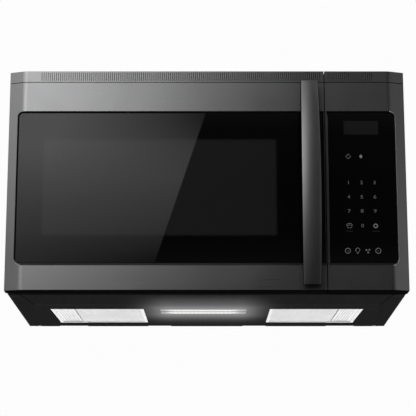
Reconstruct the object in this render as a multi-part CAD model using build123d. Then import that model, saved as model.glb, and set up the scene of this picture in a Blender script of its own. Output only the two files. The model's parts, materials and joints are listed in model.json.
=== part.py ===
from build123d import *
import math
import os

# Over the range microwave, in millimetres. X runs to the right, the front faces -Y and +Z is up.
# The origin is the middle of the rear bottom edge, on the wall plane, where the wall plate carries it.

# Front and case
front_width = 760.0
front_height = 428.5
depth = 421.0  # door face to wall
front_stack = 44.0  # door face to the front plate
door_thickness = 38.0
panel_width = 154.0  # side of the front to the middle of the gap beside the door
split_gap = 1.6
bevel_width = 30.0
bevel_depth = 10.0
crease_radius = 30.0
front_wall = 1.8
case_side_inset = 2.5
case_top_inset = 1.5
sheet = 0.8
plate_sheet = 1.2  # front plate, which carries the door
slip_gap = 0.2  # between sheet pieces that slide together
moving_gap = 0.6  # between pieces of different bodies
running_gap = 0.05  # radial, a pin or shaft in its bore
screw_radius = 1.7
screw_head_radius = 4.0
screw_head_height = 1.8
screw_length = 8.0

# Vent trim along the top of the front
trim_height = 21.6
trim_seam = 1.3
slot_pitch = 4.0
slot_width = 1.0
slot_height = 17.0
slot_top_margin = 2.6
slot_side_margin = 62.0  # side of the front to the first slot
slot_split_margin = 6.0  # edge of a trim half to its nearest slot
trim_lip = 4.0  # return flange down from the trim's top at its rear

# Glass opening across the door and the control panel
opening_side_margin = 18.5
opening_low = 46.5
opening_top_margin = 80.2
opening_radius = 11.0
sill_height = 5.3
glass_top_gap = 3.3
glass_side_gap = 2.0
sill_gap = 0.5
glass_thickness = 4.0
glass_recess = 2.0
glass_split_inset = 0.6
ledge_width = 9.0
panel_border = 2.8  # strip of the panel frame beside the gap

# Handle
handle_split_margin = 29.7
handle_low = 2.5
handle_top_margin = 26.5
handle_end_width = 32.0
handle_middle_width = 36.0
handle_end_reach = 25.0  # door face to the bar's front at its ends
handle_middle_reach = 50.0
handle_thickness = 14.0
handle_edge_radius = 6.0
post_width = 20.0
post_height = 24.0
post_end_margin = 10.0
post_screw_depth = 9.0

# Door hinge
hinge_inset = 16.0  # side of the front to the pin
hinge_depth = 22.0  # door face to the pin
hinge_corner_cut = 4.0
hinge_pin_radius = 3.0
lug_width = 9.0
lug_thickness = 3.0
lug_end_margin = 9.5  # bottom of the door, or top of its frame, to the lug
hinge_block_height = 12.0
hinge_block_width = 26.0
hinge_block_front = 12.0
hinge_block_back = 32.0
hinge_washer_gap = 0.4
hinge_flange_height = 42.0
hinge_flange_width = 24.0
hinge_slot_reach = 11.5  # door face to the front end of the lug's slot in the door side

# Oven cavity
cavity_side_margin = 35.5  # side of the case to the cavity
cavity_split_margin = 63.0
cavity_low = 85.0
cavity_lid_gap = 4.0
cavity_rear_margin = 25.8
cavity_corner = 4.0
vent_hole_radius = 2.5
vent_hole_pitch = 9.0
vent_hole_rows = 4
vent_hole_columns = 6
vent_front_margin = 40.0
vent_top_margin = 30.0

# Turntable
tray_margin = 13.0  # front of the cavity to the tray
tray_thickness = 5.0
tray_rim_height = 9.0
tray_rim_width = 14.0
roller_radius = 7.0
roller_width = 8.0
roller_count = 3
ring_margin = 37.0  # edge of the tray to the centre line of the roller ring
ring_width = 12.0
ring_height = 4.0
roller_gap = 0.4
stub_radius = 2.0
coupler_radius = 18.0
coupler_lobe_radius = 7.0
coupler_lobe_count = 3
coupler_floor_gap = 2.0
drive_shaft_radius = 3.5
motor_radius = 25.0
motor_height = 18.0
motor_bore_depth = 12.0

# Door inner pieces
window_left_margin = 15.0  # side of the cavity to the window
window_right_margin = 31.0
window_low_margin = 20.0
window_high_margin = 28.0
choke_overlap = 15.0  # choke panel beyond the cavity's sides
choke_sheet = 1.0
choke_front = 27.0
choke_back = 42.0
choke_slot_width = 8.0
screen_thickness = 0.8
inner_window_thickness = 2.0
choke_cover_thickness = 1.5
back_cover_thickness = 2.0
back_cover_gap = 0.5

# Door latch and interlock
latch_width = 8.0
latch_low_margin = 31.0
latch_high_margin = 34.0
latch_hook_height = 8.0
latch_barb_height = 4.0
latch_barb_length = 5.0
latch_bar_front = 27.0
latch_bar_thickness = 6.0
latch_reach = 62.0  # door face to the tip of the hooks
latch_travel = 3.0
latch_slot_gap = 3.5
latch_end_margin = 14.0
switch_length = 20.0
switch_height = 22.0
plunger_radius = 1.5
plunger_reach = 3.4
plunger_travel = 1.5
plunger_bore_depth = 6.0
bracket_wall = 2.0
bracket_side_offset = 10.0  # latch to the bracket's side wall
bracket_plate_left = 14.0  # latch to the left edge of the bracket
bracket_depth = 42.0
bracket_end_margin = 12.0

# Base pan, a shallow wedge hung under the case
pan_flange = 21.5
pan_front_run = 26.0
pan_drop = 16.8
pan_rear_margin = 16.0
filter_side_margin = 71.5
filter_width = 183.0
filter_front_run = 63.0
filter_rear_margin = 33.0
filter_gap = 0.6
filter_thickness = 7.0
filter_pad_thickness = 2.5
filter_rim = 6.0
filter_recess = 1.0
filter_mesh_recess = 2.0
filter_louvre_count = 6
filter_louvre_pitch = 5.0
filter_louvre_width = 2.0
filter_louvre_depth = 1.5
filter_louvre_margin = 8.0
lens_left_margin = 32.0  # left filter to the lens
lens_right_margin = 45.0
lens_front_run = 69.0
lens_back_run = 138.0
lens_gap = 0.3
lens_thickness = 2.5
lens_rib_width = 3.0
lens_rib_height = 1.2
lamp_house_height = 24.0
lamp_house_wall = 1.5
lamp_board_height = 14.0
lamp_board_thickness = 1.6
lamp_bar_width = 8.0
lamp_bar_pitch = 24.0
lamp_bar_thickness = 2.0
lamp_bar_end_margin = 12.0

# Rear panel
rear_lip = 0.8
rear_recess = 2.0  # wall to the rim, so that the screw heads stay clear of the wall
rear_rim = 14.0
hook_slot_start = 76.0  # middle of the panel to its nearest slots
hook_slot_inner_width = 49.0
hook_slot_outer_width = 60.0
hook_slot_side_margin = 64.5
hook_slot_height = 10.0
rear_screw_columns = 4
rear_screw_rows = 3
rear_screw_margin = 7.0
base_screw_side_margin = 22.5
base_screw_margin = 9.0
case_hem = 14.0

# Top of the case
cabinet_bolt_spacing = 560.0
cabinet_bolt_front = 96.0  # front plate to the bolts
cabinet_bolt_radius = 3.2
weld_nut_radius = 9.0
weld_nut_height = 6.0
duct_width = 254.0
duct_depth = 82.6
duct_wall = 1.0
duct_height = 24.0
duct_flange = 16.0
duct_rear_margin = 28.0  # wall to the duct's rear side
damper_thickness = 1.0
damper_gap = 1.2
damper_pin_radius = 2.0
damper_pin_length = 5.0
damper_height = 9.0
gland_side_margin = 77.5
gland_rear_margin = 60.0
gland_bore_radius = 4.5
gland_radius = 8.0
gland_flange_radius = 12.0
gland_flange_height = 2.0
gland_length = 12.0

# Ducts and shelf inside the case
shelf_height = 84.0
rear_air_gap = 28.0
duct_room = 103.0  # top of the case to the duct floor
vent_window_room = 47.0
vent_window_margin = 4.0
charcoal_width = 400.0
charcoal_depth = 14.0
charcoal_offset = 4.0

# Blower
blower_rear_margin = 84.0
blower_wheel_radius = 40.0
blower_wheel_wall = 6.0
blower_end_margin = 6.0  # side of the duct to the end of the housing
blower_wheel_slots = 18
blower_slot_width = 5.0
blower_clearance = 4.0
blower_wall = 2.0
blower_inlet_radius = 30.0
blower_motor_radius = 34.0
blower_motor_length = 78.0
blower_motor_gap = 6.0
blower_shaft_radius = 4.0
blower_outlet_height = 40.0
blower_saddle = 2.0
blower_hub_thickness = 4.0

# Cooling fan
fan_split_margin = 74.0
fan_height = 126.0  # shelf to the middle of the fan
fan_plate = 120.0
fan_plate_thickness = 2.0
fan_rear_margin = 44.0
fan_opening_radius = 52.0
fan_radius = 48.0
fan_hub_radius = 14.0
fan_hub_length = 14.0
fan_blade_count = 5
fan_blade_thickness = 1.6
fan_blade_width = 20.0
fan_blade_turn = 35.0
fan_motor_radius = 20.0
fan_motor_length = 22.0
fan_shaft_radius = 2.0
fan_strut_width = 8.0

# Microwave source
guide_depth = 40.0
guide_front_margin = 140.0  # front plate to the waveguide
guide_width = 92.0
guide_height = 140.0
guide_top_margin = 30.0
feed_height = 44.0
feed_margin = 10.0
feed_cover_margin = 6.0
feed_cover_thickness = 0.6
magnetron_length = 80.0
magnetron_height = 86.0
magnetron_drop = 14.0
magnetron_antenna_radius = 7.0
magnetron_antenna_length = 22.0
magnetron_fin_count = 5
magnetron_fin_gap = 8.0
magnetron_fin_thickness = 2.0
magnetron_core_radius = 20.0
magnetron_wall = 3.0
transformer_split_margin = 29.0
transformer_front_margin = 60.0
transformer_width = 84.0
transformer_length = 68.0
transformer_height = 76.0
transformer_window_width = 20.0
transformer_window_height = 44.0
coil_overhang = 14.0
capacitor_side_margin = 32.5
capacitor_front_margin = 110.0
capacitor_width = 50.0
capacitor_length = 84.0
capacitor_height = 34.0
capacitor_terminal_radius = 3.0
capacitor_terminal_height = 12.0
cutout_radius = 8.0
cutout_height = 10.0
cutout_left_margin = 92.0
cutout_right_margin = 123.0
cutout_front_margin = 90.0
lamp_x_length = 26.0
lamp_radius = 12.0
lamp_window_radius = 9.0
lamp_rear_margin = 50.0
lamp_top_margin = 35.0

# Control panel
board_margin = 20.0
board_depth = 16.0
board_thickness = 1.6
board_low_margin = 14.2
board_high_margin = 13.0
display_split_margin = 36.0
display_width = 66.0
display_top_margin = 16.0
display_height = 27.0
relay_size = 16.0
relay_count = 3
relay_pitch = 26.0
standoff_radius = 4.0

# Places worked out from the sizes above
front_y = -depth
plate_y = front_y + front_stack
plate_back_y = plate_y + plate_sheet
half_front = front_width / 2
case_half = half_front - case_side_inset
case_top = front_height - case_top_inset
inner_half = case_half - sheet
rim_y = -rear_recess - sheet
rear_half = inner_half - rear_rim
rear_high = case_top - sheet - rear_rim
split_x = half_front - panel_width
door_right = split_x - split_gap / 2
panel_left = split_x + split_gap / 2
trim_low = front_height - trim_height
frame_high = trim_low - trim_seam
opening_half = half_front - opening_side_margin
opening_high = front_height - opening_top_margin
glass_low = opening_low + sill_height
glass_high = opening_high - glass_top_gap
glass_back = glass_recess + glass_thickness
handle_x = split_x - handle_split_margin
handle_high = front_height - handle_top_margin
hinge_x = -half_front + hinge_inset
hinge_y = front_y + hinge_depth
lower_lug_low = lug_end_margin
upper_lug_low = frame_high - lug_end_margin - lug_thickness
duct_floor_height = case_top - duct_room
vent_window_low = case_top - vent_window_room
cavity_left = cavity_side_margin - case_half
cavity_right = split_x - cavity_split_margin
cavity_high = duct_floor_height - cavity_lid_gap
cavity_middle_x = (cavity_left + cavity_right) / 2
cavity_back_y = -cavity_rear_margin
turntable_y = (plate_back_y + cavity_back_y) / 2
tray_radius = turntable_y - plate_back_y - tray_margin
ring_radius = tray_radius - ring_margin
tray_low = cavity_low + 2 * (roller_radius + roller_gap)
roller_path = ring_radius + ring_width / 2 + roller_width / 2 + roller_gap
window_left = cavity_left + window_left_margin
window_right = cavity_right - window_right_margin
window_low = cavity_low + window_low_margin
window_high = cavity_high - window_high_margin
choke_left = cavity_left - choke_overlap
choke_right = cavity_right + choke_overlap
choke_low = cavity_low - choke_overlap
choke_high = cavity_high + choke_overlap
latch_x = handle_x
latch_low = cavity_low + latch_low_margin
latch_high = cavity_high - latch_high_margin
switch_front = latch_reach + moving_gap + plunger_reach
pan_run = -pan_rear_margin - (plate_y + pan_front_run)
filter_outer_x = case_half - filter_side_margin
filter_inner_x = filter_outer_x - filter_width
filter_back_run = pan_run - filter_rear_margin
lens_left = lens_left_margin - filter_inner_x
lens_right = filter_inner_x - lens_right_margin
hook_slot_end = case_half - hook_slot_side_margin
base_screw_x = case_half - base_screw_side_margin
gland_x = case_half - gland_side_margin
duct_middle_y = -duct_rear_margin - duct_depth / 2
duct_top = case_top + duct_height
damper_z = case_top + damper_height
damper_hinge_y = -duct_rear_margin - duct_wall - damper_gap - damper_pin_radius
blower_y = -blower_rear_margin
blower_low = duct_floor_height + sheet
blower_high = case_top - 2 * sheet - slip_gap
blower_z = (blower_low + blower_high) / 2
blower_bore = blower_wheel_radius + blower_clearance
blower_near = blower_motor_length / 2 + blower_motor_gap
blower_far = duct_width / 2 + blower_end_margin
blower_wheel_length = blower_far - blower_near - 2 * (blower_clearance + blower_wall)
fan_x = split_x + fan_split_margin
fan_z = shelf_height + fan_height
guide_high = cavity_high - guide_top_margin
guide_low = guide_high - guide_height
guide_x = cavity_right + sheet
guide_right = guide_x + guide_depth
guide_y = plate_back_y + guide_front_margin
magnetron_z = guide_high - magnetron_drop - magnetron_height / 2
shelf_top = shelf_height + sheet
transformer_x = split_x + transformer_split_margin
capacitor_x = case_half - capacitor_side_margin
lamp_y = cavity_back_y - lamp_rear_margin
lamp_z = cavity_high - lamp_top_margin
board_low = glass_low + board_low_margin
board_high = glass_high - board_high_margin
display_left = split_x + display_split_margin
display_right = display_left + display_width
display_high = glass_high - display_top_margin
display_low = display_high - display_height


def block(x, y, z):
    """Box between three pairs of limits."""
    size = Box(x[1] - x[0], y[1] - y[0], z[1] - z[0])
    return Pos((x[0] + x[1]) / 2, (y[0] + y[1]) / 2, (z[0] + z[1]) / 2) * size


def around(middle, width):
    """Limits of a width about its middle."""
    return (middle - width / 2, middle + width / 2)


def grown(limits, margin):
    """Limits moved outwards by a margin, or inwards by a negative one."""
    return (limits[0] - margin, limits[1] + margin)


def front_block(x, back, z):
    """Box whose Y limits are distances behind the door face."""
    return block(x, (front_y + back[0], front_y + back[1]), z)


def rod(start, direction, length, radius):
    """Cylinder from a point along a direction."""
    along = Plane(origin=start, z_dir=direction)
    return along * Cylinder(radius, length, align=(Align.CENTER, Align.CENTER, Align.MIN))


def rounded_slab(x, back, z, radius):
    """Slab facing the front, with rounded corners; back holds its distances behind the door face."""
    middle = ((x[0] + x[1]) / 2, front_y + back[0], (z[0] + z[1]) / 2)
    face = Plane(origin=middle, x_dir=(1, 0, 0), z_dir=(0, 1, 0))
    return extrude(face * RectangleRounded(x[1] - x[0], z[1] - z[0], radius), amount=back[1] - back[0])


def screw(seat, direction):
    """Pan-head screw; seat is the point under its head and direction is the way it is driven."""
    outward = tuple(-value for value in direction)
    head = rod(seat, outward, screw_head_height, screw_head_radius)
    return head + rod(seat, direction, screw_length, screw_radius)


def screw_hole(seat, direction):
    """Hole for a screw through the sheets in front of and behind its seat."""
    start = tuple(point - value * screw_length for point, value in zip(seat, direction))
    return rod(start, direction, 3 * screw_length, screw_radius)


# Front pieces share one plan outline: a flat face, a soft crease, a bevel and a side.
def front_outline(side, split, rear, cut_corner):
    edge = side * half_front
    crease = (edge - side * bevel_width, front_y)
    points = [(split, front_y), crease, (edge, front_y + bevel_depth)]
    if cut_corner:
        points.append((edge, front_y + rear - hinge_corner_cut))
        points.append((edge - side * hinge_corner_cut, front_y + rear))
    else:
        points.append((edge, front_y + rear))
    points.append((split, front_y + rear))
    outline = Polygon(*points, align=None)
    corner = outline.vertices().sort_by_distance((crease[0], crease[1], 0))[0]
    return fillet(corner, crease_radius)


def front_shell(side, split, rear, low, high, cut_corner=False):
    """Hollow front piece, open at the rear."""
    outer = front_outline(side, split, rear, cut_corner)
    inner = offset(outer, amount=-front_wall, kind=Kind.INTERSECTION)
    solid = extrude(Pos(0, 0, low) * outer, amount=high - low, dir=(0, 0, 1))
    hollow = extrude(Pos(0, 0, low + front_wall) * inner, amount=high - low - 2 * front_wall, dir=(0, 0, 1))
    inner_edge = side * (half_front - front_wall - hinge_corner_cut)
    rear_x = sorted((split - math.copysign(front_wall, split - side * half_front), inner_edge))
    rear_open = front_block(rear_x, (rear - 2 * front_wall, rear + 1), (low + front_wall, high - front_wall))
    return solid - hollow - rear_open


def trim_slots(low_x, high_x):
    """Narrow slots through the front wall of the vent trim."""
    first = -half_front + slot_side_margin
    count = int((2 * -first) / slot_pitch) + 1
    places = [first + index * slot_pitch for index in range(count)]
    kept = [x for x in places if low_x + slot_split_margin < x < high_x - slot_split_margin]
    top = front_height - slot_top_margin
    through = (-front_wall, 2 * front_wall)
    return [front_block(around(x, slot_width), through, (top - slot_height, top)) for x in kept]


def glass_pocket():
    """Pocket for the glass, one rounded opening across the door and the control panel."""
    height = (opening_low, opening_high)
    return rounded_slab(around(0, 2 * opening_half), (-front_wall, glass_back), height, opening_radius)


def glass_sill(low_x, high_x):
    """Sloped lower lip of the glass opening, left standing in the pocket."""
    rear_y = front_y + glass_back
    top = glass_low - sill_gap
    points = [(front_y, opening_low), (front_y + glass_recess, top), (rear_y, top), (rear_y, opening_low)]
    start = Plane(origin=(low_x, 0, 0), x_dir=(0, 1, 0), z_dir=(1, 0, 0))
    return extrude(start * Polygon(*points, align=None), amount=high_x - low_x, dir=(1, 0, 0))


def ledge(low_x, high_x, window_x):
    """Flange behind the glass; window_x is the opening left in it."""
    height = grown((opening_low, opening_high), front_wall)
    plate = front_block((low_x, high_x), (glass_back, glass_back + front_wall), height)
    window = front_block(window_x, (0, door_thickness), grown((glass_low, glass_high), -ledge_width))
    return plate, window


def lug_spans():
    return [(low, low + lug_thickness) for low in (lower_lug_low, upper_lug_low)]


def door_frame():
    shell = front_shell(-1, door_right, door_thickness, 0, frame_high, cut_corner=True)
    window_x = (-opening_half + ledge_width, door_right - ledge_width)
    plate, window = ledge(-opening_half - front_wall, door_right, window_x)
    frame = shell + plate - window - glass_pocket()
    open_end = (door_right - front_wall, door_right + 1)
    frame -= front_block(open_end, (-1, glass_back), (opening_low, opening_high))
    sill_left = -opening_half + opening_radius
    frame += glass_sill(sill_left, door_right)
    side = (-half_front - 1, -half_front + front_wall + hinge_corner_cut)
    for span in lug_spans():
        frame -= front_block(side, (hinge_slot_reach, door_thickness + 1), grown(span, moving_gap))
    for z in post_centres():
        frame -= rod((handle_x, front_y - 1, z), (0, 1, 0), front_wall + 2, screw_radius)
    return frame


def trim_flange(x, rear):
    """Flange that closes the view between the trim and the case's top."""
    top = front_height - front_wall
    return front_block(x, (rear - front_wall, rear), (top - trim_lip, top))


def door_vent_trim():
    trim = front_shell(-1, door_right, door_thickness, trim_low, front_height, cut_corner=True)
    trim += trim_flange((-half_front + hinge_corner_cut, door_right), door_thickness)
    return trim - trim_slots(-half_front, door_right)


def panel_vent_trim():
    trim = front_shell(1, panel_left, front_stack, trim_low, front_height)
    trim += trim_flange((panel_left, half_front), front_stack)
    return trim - trim_slots(panel_left, half_front)


def door_glass():
    glass = rounded_slab(
        (-opening_half + glass_side_gap, opening_half),
        (glass_recess, glass_back),
        (glass_low, glass_high),
        opening_radius - glass_side_gap,
    )
    keep = front_block((-half_front, door_right - glass_split_inset), (0, door_thickness), (0, front_height))
    return glass & keep


def control_frame():
    shell = front_shell(1, panel_left, front_stack, 0, frame_high)
    border = panel_left + panel_border
    window_x = (border + ledge_width, opening_half - ledge_width)
    plate, window = ledge(panel_left, opening_half + front_wall, window_x)
    pocket = glass_pocket() & front_block((border, half_front), (-front_wall, front_stack), (0, front_height))
    frame = shell + plate - window - pocket
    return frame + glass_sill(border, opening_half - opening_radius)


def control_glass():
    glass = rounded_slab(
        (-opening_half, opening_half - glass_side_gap),
        (glass_recess, glass_back),
        (glass_low, glass_high),
        opening_radius - glass_side_gap,
    )
    left = panel_left + panel_border + glass_side_gap
    return glass & front_block((left, half_front), (0, front_stack), (0, front_height))


def post_centres():
    half = post_height / 2
    return (handle_low + post_end_margin + half, handle_high - post_end_margin - half)


def bow_face(reach_offset, left):
    """Side view of the bar: a band between two arcs, reach_offset deeper than the front arc."""
    middle_z = (handle_low + handle_high) / 2
    end_y = front_y - handle_end_reach
    middle_y = front_y - handle_middle_reach
    front = ThreePointArc((left, end_y, handle_low), (left, middle_y, middle_z), (left, end_y, handle_high))
    back = ThreePointArc(
        (left, end_y + reach_offset, handle_high),
        (left, middle_y + reach_offset, middle_z),
        (left, end_y + reach_offset, handle_low),
    )
    return Face(Wire([front, Line(front @ 1, back @ 0), back, Line(back @ 1, front @ 0)]))


def handle_band():
    left = handle_x - handle_middle_width
    return extrude(bow_face(handle_thickness, left), amount=2 * handle_middle_width, dir=(1, 0, 0))


def handle_bar():
    middle_z = (handle_low + handle_high) / 2
    front = front_y - handle_middle_reach - 1
    arcs = []
    for side, start, end in ((-1, handle_low, handle_high), (1, handle_high, handle_low)):
        end_x = handle_x + side * handle_end_width / 2
        middle_x = handle_x + side * handle_middle_width / 2
        arcs.append(ThreePointArc((end_x, front, start), (middle_x, front, middle_z), (end_x, front, end)))
    top = Line(arcs[0] @ 1, arcs[1] @ 0)
    bottom = Line(arcs[1] @ 1, arcs[0] @ 0)
    outline = Face(Wire([arcs[0], top, arcs[1], bottom]))
    bar = handle_band() & extrude(outline, amount=handle_middle_reach + 1, dir=(0, 1, 0))
    long_edges = [edge for edge in bar.edges() if edge.length > (handle_high - handle_low) / 2]
    return fillet(long_edges, handle_edge_radius)


def handle_posts():
    posts = Part()
    for z in post_centres():
        reach = (-handle_end_reach + 1, 0)
        posts += front_block(around(handle_x, post_width), reach, around(z, post_height)) - handle_band()
        posts -= rod((handle_x, front_y + 1, z), (0, -1, 0), post_screw_depth + 1, screw_radius)
    return posts


def handle_screws():
    screws = Part()
    for z in post_centres():
        screws += screw((handle_x, front_y + front_wall, z), (0, -1, 0))
    return screws


def door_hinge_blocks():
    blocks = Part()
    left = -half_front + front_wall
    spans = (
        (lower_lug_low + lug_thickness + hinge_washer_gap, 1),
        (upper_lug_low - hinge_washer_gap, -1),
    )
    for face_z, way in spans:
        z_span = sorted((face_z, face_z + way * hinge_block_height))
        body = front_block((left, left + hinge_block_width), (hinge_block_front, hinge_block_back), z_span)
        start = (hinge_x, hinge_y, z_span[0] - 1)
        blocks += body - rod(start, (0, 0, 1), hinge_block_height + 2, hinge_pin_radius + running_gap)
    return blocks


def hinge_brackets():
    """Behind the front plate a flange, through it a lug, and on the lug's end the door's pin."""
    brackets = Part()
    flange_front = front_stack + plate_sheet
    flange_left = -inner_half + slip_gap
    flange_x = (flange_left, flange_left + hinge_flange_width)
    pin_length = lug_thickness + hinge_washer_gap + hinge_block_height - 1
    for (low, high), way in zip(lug_spans(), (1, -1)):
        start = low if way > 0 else high
        lug = front_block(around(hinge_x, lug_width), (hinge_depth, flange_front), (low, high))
        lug += rod((hinge_x, hinge_y, low), (0, 0, 1), lug_thickness, lug_width / 2)
        flange_z = sorted((start, start + way * hinge_flange_height))
        lug += front_block(flange_x, (flange_front, flange_front + lug_thickness), flange_z)
        brackets += lug + rod((hinge_x, hinge_y, start), (0, 0, way), pin_length, hinge_pin_radius)
    return brackets


def window_screen():
    x_span = grown((window_left, window_right), choke_slot_width)
    z_span = grown((window_low, window_high), choke_slot_width)
    return front_block(x_span, (choke_front - screen_thickness, choke_front), z_span)


def inner_window():
    back = (choke_front + choke_sheet, choke_front + choke_sheet + inner_window_thickness)
    return front_block((window_left, window_right), back, (window_low, window_high))


def choke_panel():
    """Steel ring round the window, with a channel that faces the oven front."""
    wall = choke_sheet
    outer_x = (choke_left, choke_right)
    outer_z = (choke_low, choke_high)
    well_x = (window_left, window_right)
    well_z = (window_low, window_high)
    behind = (choke_front + wall, choke_back + 1)
    ring = front_block(outer_x, (choke_front, choke_back), outer_z) - front_block(well_x, behind, well_z)
    view_x = grown(well_x, -choke_slot_width)
    view_z = grown(well_z, -choke_slot_width)
    ring -= front_block(view_x, (choke_front - 1, choke_back), view_z)
    channel = front_block(grown(outer_x, -wall), behind, grown(outer_z, -wall))
    return ring - (channel - front_block(grown(well_x, wall), behind, grown(well_z, wall)))


def choke_cover():
    """Plastic ring that closes the choke channel."""
    wall = choke_sheet
    span = (choke_back - choke_cover_thickness, choke_back)
    outer = front_block(grown((choke_left, choke_right), -wall), span, grown((choke_low, choke_high), -wall))
    well_x = grown((window_left, window_right), wall)
    return outer - front_block(well_x, (0, front_stack), grown((window_low, window_high), wall))


def latch_slots(back, gap_x):
    """Slots for the two hooks and their upward travel."""
    slots = []
    x_span = around(latch_x, latch_width + 2 * gap_x)
    for low in (latch_low, latch_high):
        top = low + latch_hook_height + latch_barb_height + latch_travel
        slots.append(front_block(x_span, back, grown((low, top), moving_gap)))
    return slots


def door_back_cover():
    """Plastic cover of the door's inner side, round the choke panel."""
    back = (door_thickness - back_cover_thickness, door_thickness)
    left = -half_front + front_wall + hinge_corner_cut
    edge = front_wall
    cover = front_block((left, door_right - edge), back, (edge, frame_high - edge))
    hole_x = grown((choke_left, choke_right), back_cover_gap)
    cover -= front_block(hole_x, (0, front_stack), grown((choke_low, choke_high), back_cover_gap))
    cover -= latch_slots((0, front_stack), moving_gap)
    for span in lug_spans():
        cover -= front_block((-half_front, hinge_x + lug_width), (0, front_stack), grown(span, moving_gap))
    return cover


def door_latch():
    """Upright bar in the door with two hooks that reach through the front plate."""
    x_span = around(latch_x, latch_width)
    bar_back = latch_bar_front + latch_bar_thickness
    barb = (latch_reach - latch_barb_length, latch_reach)
    z_span = grown((latch_low, latch_high + latch_hook_height), latch_end_margin)
    latch = front_block(x_span, (latch_bar_front, bar_back), z_span)
    for low in (latch_low, latch_high):
        top = low + latch_hook_height
        latch += front_block(x_span, (bar_back, latch_reach), (low, top))
        latch += front_block(x_span, barb, (top, top + latch_barb_height))
    return latch


def interlock_bracket():
    """Plate behind the front plate and a side wall that carries the switches."""
    back = front_stack + plate_sheet
    height = grown((latch_low, latch_high + latch_hook_height), bracket_end_margin + switch_height / 2)
    wall_x = latch_x + bracket_side_offset
    plate_x = (latch_x - bracket_plate_left, wall_x + bracket_wall)
    bracket = front_block(plate_x, (back, back + bracket_wall), height)
    bracket += front_block((wall_x, wall_x + bracket_wall), (back, front_stack + bracket_depth), height)
    return bracket - latch_slots((0, back + bracket_wall + 1), latch_slot_gap)


def plunger_centres():
    middle = latch_hook_height / 2
    return [(latch_x, front_y + switch_front, low + middle) for low in (latch_low, latch_high)]


def interlock_switches():
    switches = Part()
    for x, y, z in plunger_centres():
        x_span = (latch_x - latch_width / 2, latch_x + bracket_side_offset)
        body = block(x_span, (y, y + switch_length), around(z, switch_height))
        switches += body - rod((x, y - 1, z), (0, 1, 0), plunger_bore_depth + 1, plunger_radius + running_gap)
    return switches


def switch_plunger(index):
    x, y, z = plunger_centres()[index]
    inside = plunger_bore_depth - plunger_travel - moving_gap
    return rod((x, y - plunger_reach, z), (0, 1, 0), plunger_reach + inside, plunger_radius)


# Case
def rear_screw_seats():
    """Screws round the rear panel, driven forward into the hem of the case."""
    margin = rear_screw_margin
    half = inner_half - margin
    high = case_top - sheet - margin
    columns = [-half + index * 2 * half / (rear_screw_columns - 1) for index in range(rear_screw_columns)]
    low = shelf_height - margin
    rows = [low + index * (high - low) / (rear_screw_rows - 1) for index in range(rear_screw_rows)]
    seats = [(x, -rear_recess, high) for x in columns]
    seats += [(side * half, -rear_recess, z) for side in (-1, 1) for z in rows[:-1]]
    return seats


def base_screw_seats():
    return [(side * base_screw_x, -base_screw_margin, 0) for side in (-1, 1)]


def gland_centre():
    return (gland_x, -gland_rear_margin)


def cabinet_bolts():
    return [(side * cabinet_bolt_spacing / 2, plate_y + cabinet_bolt_front) for side in (-1, 1)]


def hook_slot_spans():
    inner = (hook_slot_start, hook_slot_start + hook_slot_inner_width)
    return (inner, (hook_slot_end - hook_slot_outer_width, hook_slot_end))


def outer_case():
    """Top and sides in one bent sheet, with a hem round the rear and along the bottom of the sides."""
    shell = block((-case_half, case_half), (plate_y, rim_y), (0, case_top))
    shell -= block((-inner_half, inner_half), (plate_y - 1, rim_y + 1), (-1, case_top - sheet))
    hem_y = (rim_y - sheet, rim_y)
    hem_low = shelf_height - 2 * rear_screw_margin
    rear_hem = block((-inner_half, inner_half), hem_y, (hem_low, case_top - sheet))
    inside = inner_half - case_hem
    rear_hem -= block((-inside, inside), (hem_y[0] - 1, 0), (0, case_top - sheet - case_hem))
    shell += rear_hem
    duct_x = around(0, duct_width + 2 * slip_gap)
    duct_y = around(duct_middle_y, duct_depth + 2 * slip_gap)
    shell -= block(duct_x, duct_y, (case_top - 2 * sheet, case_top + 1))
    for x, y in cabinet_bolts():
        shell += rod((x, y, case_top - sheet), (0, 0, -1), weld_nut_height, weld_nut_radius)
        shell -= rod((x, y, case_top + 1), (0, 0, -1), weld_nut_height + sheet + 2, cabinet_bolt_radius)
    shell -= rod((*gland_centre(), case_top + 1), (0, 0, -1), sheet + 2, gland_radius)
    return shell - [screw_hole(seat, (0, -1, 0)) for seat in rear_screw_seats()]


def rear_panel():
    """Pressed sheet: the middle lies on the wall, and the rim behind it takes the screws."""
    step = (rim_y, 0)
    rim = block((-case_half, case_half), (rim_y, -rear_recess), (-rear_lip, case_top))
    panel = rim + block((-rear_half, rear_half), step, (-rear_lip, rear_high))
    inside = grown((-rear_half, rear_half), -sheet)
    panel -= block(inside, (rim_y - 1, -sheet), (-rear_lip - 1, rear_high - sheet))
    for side in (-1, 1):
        for near, far in hook_slot_spans():
            x_span = sorted((side * near, side * far))
            panel -= block(x_span, (rim_y, 1), (-rear_lip - 1, hook_slot_height))
    return panel - [screw_hole(seat, (0, -1, 0)) for seat in rear_screw_seats()]


def front_plate():
    plate = block((-inner_half, inner_half), (plate_y, plate_back_y), (0, case_top - sheet))
    across = (front_stack - 1, front_stack + plate_sheet + 1)
    plate -= front_block((cavity_left, cavity_right), across, (cavity_low, cavity_high))
    vent_x = -half_front + slot_side_margin
    vent_high = case_top - sheet - vent_window_margin
    plate -= front_block((vent_x, door_right - latch_slot_gap), across, (vent_window_low, vent_high))
    plate -= latch_slots(across, latch_slot_gap)
    for low, high in lug_spans():
        half = lug_width / 2 + slip_gap
        plate -= front_block((hinge_x - half, hinge_x + half), across, (low - slip_gap, high + slip_gap))
    wiring = (panel_left + board_margin, inner_half - board_margin)
    return plate - front_block(wiring, across, (cavity_low, cavity_high))


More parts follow.
